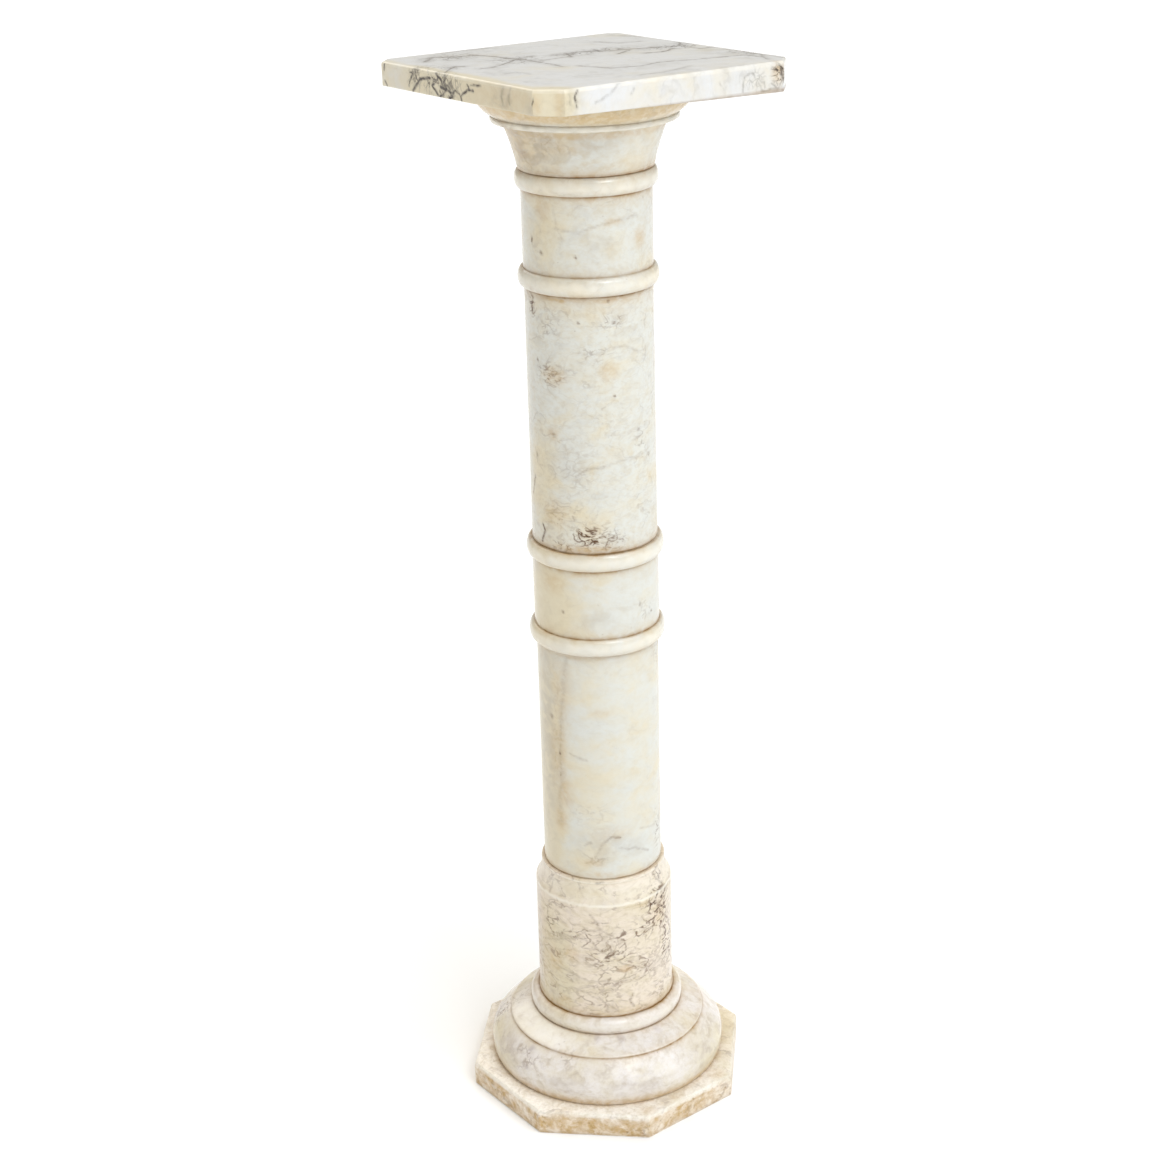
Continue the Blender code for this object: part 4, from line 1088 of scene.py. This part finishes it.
class PEDESTAL_OT_base_torus(bpy.types.Operator):
    """The base torus with its thin edge, shoulder and bead"""

    bl_idname = "pedestal.base_torus"
    bl_label = "Base torus"

    def execute(self, context):
        sizes = context.scene.turned_sizes
        low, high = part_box("base_torus")
        shoulder_top = high.z - sizes.bead_height
        fillet_top = shoulder_top - sizes.shoulder_height
        fillet_foot = fillet_top - sizes.fillet_height
        nose_radius = sizes.torus_nose
        nose_centre = (sizes.fillet_radius + sizes.torus_slope - nose_radius * math.sqrt(0.5),
                       low.z + sizes.torus_nose_rise)
        bead_middle = high.z - sizes.bead_height / 2
        bead_reach = sizes.bead_root + sizes.bead_proud
        tuck = sizes.bead_undercut
        outline = arc((sizes.bead_root, bead_middle), (sizes.bead_proud, sizes.bead_height / 2), 90, 0, 12)[:-1]
        outline += arc((bead_reach - tuck, bead_middle), (tuck, sizes.bead_height / 2), 0, -90, 10)
        outline.append((bead_reach, shoulder_top))
        outline.append((sizes.fillet_radius, fillet_top))
        outline.append((sizes.fillet_radius, fillet_foot))
        outline += arc(nose_centre, (nose_radius, nose_radius), 45, 0, 14)[:-1]
        # Below the nose it draws in only a little and meets the plinth in an open angle
        sweep = math.radians(65)
        inward = sizes.torus_undercut / (1 - math.cos(sweep))
        downward = sizes.torus_nose_rise / math.sin(sweep)
        foot_centre = (nose_centre[0] + nose_radius - inward, nose_centre[1])
        outline += arc(foot_centre, (inward, downward), 0, -math.degrees(sweep), 18)
        creases = [(70.9, 98.0, 2.2, 0.95), (78.0, 82.2, 1.8, 0.75), (101.3, 68.8, 1.3, 0.9),
                   (119.6, 25.8, 1.5, 0.25)]
        make_turned("base_torus", outline, 380, sizes.fillet_radius, creases, 17, 4)
        return {"FINISHED"}


class PEDESTAL_OT_top_slab(bpy.types.Operator):
    """The square slab with its cut corners and uneven thickness"""

    bl_idname = "pedestal.top_slab"
    bl_label = "Top slab"

    def execute(self, context):
        sizes = context.scene.block_sizes
        low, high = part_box("top_slab")
        half = sizes.slab_side / 2
        cuts = [sizes.slab_right_cut, sizes.slab_back_cut, sizes.slab_left_cut, sizes.slab_front_cut]
        ways = [(1, -1), (1, 1), (-1, 1), (-1, -1)]
        corners = []
        for cut, (x_way, y_way) in zip(cuts, ways):
            pair = [Vector((x_way * half, y_way * (half - cut))), Vector((x_way * (half - cut), y_way * half))]
            corners += pair if x_way * y_way > 0 else pair[::-1]
        arris_rows = 8
        wall = eased_wall(high.z, low.z, sizes.slab_arris, sizes.slab_lower_arris, arris_rows, 17)
        # The top has 84 rows, fine enough for its thin veins, and the underside 6
        points, rows, columns, crown_rows, wall_rows = block_points(
            corners, [1.6 * MM] * 8, wall, 84, 6, 1.35 * MM)

        # The underside hangs lower towards the right corner and rises at the front, clear of the capital
        x, y, z = points.T / MM
        outside = smooth_step(np.hypot(x, y), 102, 132)
        depth = np.clip((SLAB_TOP_MM - z) / SLAB_THICKNESS_MM, 0, 1)
        rightward = (x - y) / SLAB_SLOPE_MM
        frontward = -(x + y) / SLAB_SLOPE_MM
        drop = 1.0 + 2.4 * rightward - 2.9 * np.clip(frontward, 0, 1)
        points[:, 2] -= outside * depth * drop * MM

        normals = row_normals(points, rows, columns)
        on_wall = on_rows(rows, columns, crown_rows, crown_rows + wall_rows)
        on_arris = on_rows(rows, columns, crown_rows + 1, crown_rows + arris_rows)
        sway = rough_field(points, 60, 31)
        grain = rough_field(points, 8, 32)
        wobble = rough_field(points, 6, 33)
        chip = on_arris * np.clip(grain - 0.35, 0, 1) * 1.2
        points -= normals * ((on_wall * (0.12 - 0.12 * sway) + chip) * MM)[:, None]

        chart = points / MM
        drift = np.stack([wobble, np.roll(wobble, columns * 5), np.roll(wobble, 40)], axis=1)
        on_top = [(width, strength, [(x, y, SLAB_TOP_MM) for x, y in path])
                  for width, strength, path in SLAB_TOP_VEINS]
        drifts = [(width * 3.5, strength * 0.85, path) for width, strength, path in on_top]
        strokes = [(width * 0.8, strength * 1.4, path) for width, strength, path in on_top]
        strokes += [(width * 0.8, strength * 1.5, [(-half / MM, y, z) for y, z in path])
                    for width, strength, path in SLAB_LEFT_VEINS]
        strokes += [(width, strength, [(x, -half / MM, z) for x, z in path])
                    for width, strength, path in SLAB_RIGHT_VEINS]
        fields = lay_marks({"spots": SLAB_SPOTS, "strokes": strokes, "drifts": drifts}, chart + drift * 1.4)
        fields["worn"] = on_arris * (0.3 + 0.3 * grain)
        # The wall darkens along its lower edge
        fields["grime"] = 0.5 * smooth_step(-points[:, 2], -(low.z + 1.5 * MM), -(low.z - 1 * MM)) * on_wall
        mesh = grid_mesh("top_slab_stone", rows, columns, points, fields)
        material = marble("polished_marble_top_slab", MIXES["top_slab"], context.scene.marble_colours)
        place_stone("top_slab", mesh, material)
        return {"FINISHED"}


class PEDESTAL_OT_plinth(bpy.types.Operator):
    """The octagonal plinth, rough, chipped and stained"""

    bl_idname = "pedestal.plinth"
    bl_label = "Plinth"

    def execute(self, context):
        sizes = context.scene.block_sizes
        low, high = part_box("plinth")
        radius = sizes.plinth_across / 2 / math.cos(math.pi / 8)
        turns = [sizes.plinth_turn + math.pi / 8 + math.pi / 4 * side for side in range(8)]
        corners = [Vector((radius * math.cos(turn), radius * math.sin(turn))) for turn in turns]
        # Fine rows on the ledge round the torus, from 40 mm inside the plinth's edge outward, then the wall
        ledge_rows = 26
        wall = [(inset * MM, high.z) for inset in np.linspace(40, 3, ledge_rows)]
        wall += eased_wall(high.z, low.z, sizes.plinth_arris, sizes.plinth_arris / 2, 7, 20)
        points, rows, columns, crown_rows, wall_rows = block_points(
            corners, [2.4 * MM] * 8, wall, 8, 8, 1.15 * MM)
        normals = row_normals(points, rows, columns)
        arris_row = crown_rows + ledge_rows + 3
        foot_row = crown_rows + wall_rows - 2
        row_place = np.arange(rows)
        near_arris = np.repeat(np.exp(-((row_place - arris_row) / 3.5) ** 2), columns)
        near_foot = np.repeat(np.exp(-((row_place - foot_row) / 2.5) ** 2), columns)
        seen = on_rows(rows, columns, crown_rows + 1, rows - 10)
        sway = rough_field(points, 40, 41)
        lump = rough_field(points, 14, 42)
        grain = rough_field(points, 5, 43)
        speck = rough_field(points, 2.6, 44)
        x, y, z = points.T / MM
        left_corner = np.exp(-((x + 141) ** 2 + (y - 52) ** 2) / 20 ** 2)
        right_corner = np.exp(-((x - 62) ** 2 + (y + 137) ** 2) / 16 ** 2)
        wear = 0.5 + 1.6 * np.clip(lump, 0, 1) + 3.0 * np.clip(lump - 0.3, 0, 1) + 0.8 * left_corner + right_corner
        loss = near_arris * wear + near_foot * (0.4 + 2.2 * np.clip(sway + grain * 0.6, 0, 1))
        rough = 0.30 * (grain + 0.4) + 0.22 * (speck + 0.3) + 0.3 * (sway + 0.5) + 0.7 * np.clip(speck - 0.35, 0, 1)
        flat = np.abs(normals[:, 2]) > 0.9
        inward = np.where(flat, 0.35 * rough, rough) * seen + loss * seen
        points = points - normals * (np.clip(inward, 0, None) * MM)[:, None]
        points[:, 2] = np.maximum(points[:, 2], low.z)

        chart = points / MM
        fields = lay_marks({"spots": PLINTH_SPOTS, "strokes": PLINTH_VEINS}, chart + (grain * 1.5)[:, None])
        fields["worn"] = near_arris * (0.45 + 0.5 * lump)
        side = smooth_step(-z, -22.0, -19.0) * seen
        leftward = 0.62 - 0.30 * (0.8 * x + 0.6 * y) / 135 - 0.3 * smooth_step(x, 20, 90)
        blotch = 0.75 + 0.6 * lump + 0.35 * grain
        fields["stain"] = np.maximum(fields["stain"], np.clip(side * leftward * blotch, 0, 0.9))
        creases = [(119.6, 25.5, 1.0, 0.3)]
        halo = crease_field(points, [(119.6, 25.5, 4.0, 0.6)]) * (0.9 + 0.5 * lump)
        fields["stain"] = np.maximum(fields["stain"], halo)
        # Darker along the foot and in the pits of the sides
        under = 0.35 * np.exp(-np.abs(points[:, 2] - low.z) / (2.5 * MM))
        pit = np.clip(speck + 0.4 * grain - 0.5, 0, 1) * 1.6
        fields["grime"] = np.maximum(np.maximum(crease_field(points, creases), under * seen), pit * side)
        mesh = grid_mesh("plinth_stone", rows, columns, points, fields)
        material = marble("worn_marble_plinth", MIXES["plinth"], context.scene.marble_colours)
        place_stone("plinth", mesh, material)
        return {"FINISHED"}


class PEDESTAL_OT_stage(bpy.types.Operator):
    """The pale floor, the lights and the camera"""

    bl_idname = "pedestal.stage"
    bl_label = "Stage"

    def execute(self, context):
        scene = context.scene
        sizes = scene.stage_sizes
        half = sizes.floor_side / 2
        mesh = bpy.data.meshes.new("floor")
        level = -0.4 * MM
        mesh.from_pydata([(-half, -half, level), (half, -half, level), (half, half, level), (-half, half, level)],
                         [], [(0, 1, 2, 3)])
        floor = bpy.data.objects.new("floor", mesh)
        scene.collection.objects.link(floor)
        # Painted board: matt and nearly white
        board = bpy.data.materials.new("matt_painted_board")
        board.use_nodes = True
        paint = board.node_tree.nodes["Principled BSDF"]
        paint.inputs["Base Color"].default_value = (*sizes.floor_colour, 1)
        paint.inputs["Roughness"].default_value = 0.9
        paint.inputs["Specular IOR Level"].default_value = 0.0
        mesh.materials.append(board)

        world = bpy.data.worlds.new("sky")
        world.use_nodes = True
        backdrop = world.node_tree.nodes["Background"]
        backdrop.inputs["Color"].default_value = (*sizes.sky_colour, 1)
        backdrop.inputs["Strength"].default_value = sizes.sky_strength
        scene.world = world

        for name in ("key", "back"):
            light = bpy.data.lights.new(name, "SUN")
            light.color = getattr(sizes, name + "_colour")
            light.energy = getattr(sizes, name + "_strength")
            light.angle = sizes.key_softness
            light_object = bpy.data.objects.new(name, light)
            turn = FRONT + getattr(sizes, name + "_turn")
            height = getattr(sizes, name + "_height")
            way = Vector((math.cos(turn) * math.cos(height), math.sin(turn) * math.cos(height), math.sin(height)))
            light_object.rotation_euler = way.to_track_quat("Z", "Y").to_euler()
            scene.collection.objects.link(light_object)

        panel = bpy.data.lights.new("panel", "AREA")
        panel.shape = "SQUARE"
        panel.size = sizes.panel_side
        panel.energy = sizes.panel_power
        panel_object = bpy.data.objects.new("panel", panel)
        # The panel stands a metre off, to the right of the camera, and is aimed at the middle of the column
        turn = FRONT + 0.55
        place = Vector((math.cos(turn), math.sin(turn), 1.5))
        aim = Vector((0, 0, 0.6))
        panel_object.location = place
        panel_object.rotation_euler = (place - aim).to_track_quat("Z", "Y").to_euler()
        scene.collection.objects.link(panel_object)

        # The camera's place and turns were fitted to the photograph
        camera = bpy.data.cameras.new("camera")
        camera.lens = sizes.lens
        camera.sensor_width = 36
        camera.clip_end = 100
        camera_object = bpy.data.objects.new("camera", camera)
        camera_object.location = (-1.0884729, -1.5177946, 1.3002897)
        camera_object.rotation_euler = [math.radians(turn) for turn in (68.0746755, 1.4505654, -35.8747729)]
        scene.collection.objects.link(camera_object)
        scene.camera = camera_object
        scene.view_settings.view_transform = "Standard"
        return {"FINISHED"}


PROPERTY_GROUPS = {
    "turned_sizes": TurnedSizes,
    "block_sizes": BlockSizes,
    "marble_colours": MarbleColours,
    "stage_sizes": StageSizes,
}
OPERATORS = (
    PEDESTAL_OT_plinth,
    PEDESTAL_OT_base_torus,
    PEDESTAL_OT_base_drum,
    PEDESTAL_OT_shafts,
    PEDESTAL_OT_collars,
    PEDESTAL_OT_capital,
    PEDESTAL_OT_top_slab,
    PEDESTAL_OT_stage,
)


class VIEW3D_PT_pedestal(bpy.types.Panel):
    """Lists the stones and the stage with their sizes and colours"""

    bl_label = "Pedestal"
    bl_idname = "VIEW3D_PT_pedestal"
    bl_space_type = "VIEW_3D"
    bl_region_type = "UI"
    bl_category = "Pedestal"

    def draw(self, context):
        layout = self.layout
        for operator in OPERATORS:
            layout.operator(operator.bl_idname)
        for name, group in PROPERTY_GROUPS.items():
            box = layout.box()
            for field in group.__annotations__:
                box.prop(getattr(context.scene, name), field)


def register():
    for name, group in PROPERTY_GROUPS.items():
        bpy.utils.register_class(group)
        setattr(bpy.types.Scene, name, bpy.props.PointerProperty(type=group))
    for operator in OPERATORS:
        bpy.utils.register_class(operator)
    bpy.utils.register_class(VIEW3D_PT_pedestal)


def unregister():
    bpy.utils.unregister_class(VIEW3D_PT_pedestal)
    for operator in reversed(OPERATORS):
        bpy.utils.unregister_class(operator)
    for name, group in PROPERTY_GROUPS.items():
        delattr(bpy.types.Scene, name)
        bpy.utils.unregister_class(group)


def main():
    register()
    bpy.ops.pedestal.plinth()
    bpy.ops.pedestal.base_torus()
    bpy.ops.pedestal.base_drum()
    bpy.ops.pedestal.shafts()
    bpy.ops.pedestal.collars()
    bpy.ops.pedestal.capital()
    bpy.ops.pedestal.top_slab()
    bpy.ops.pedestal.stage()


if __name__ == "__main__":
    main()
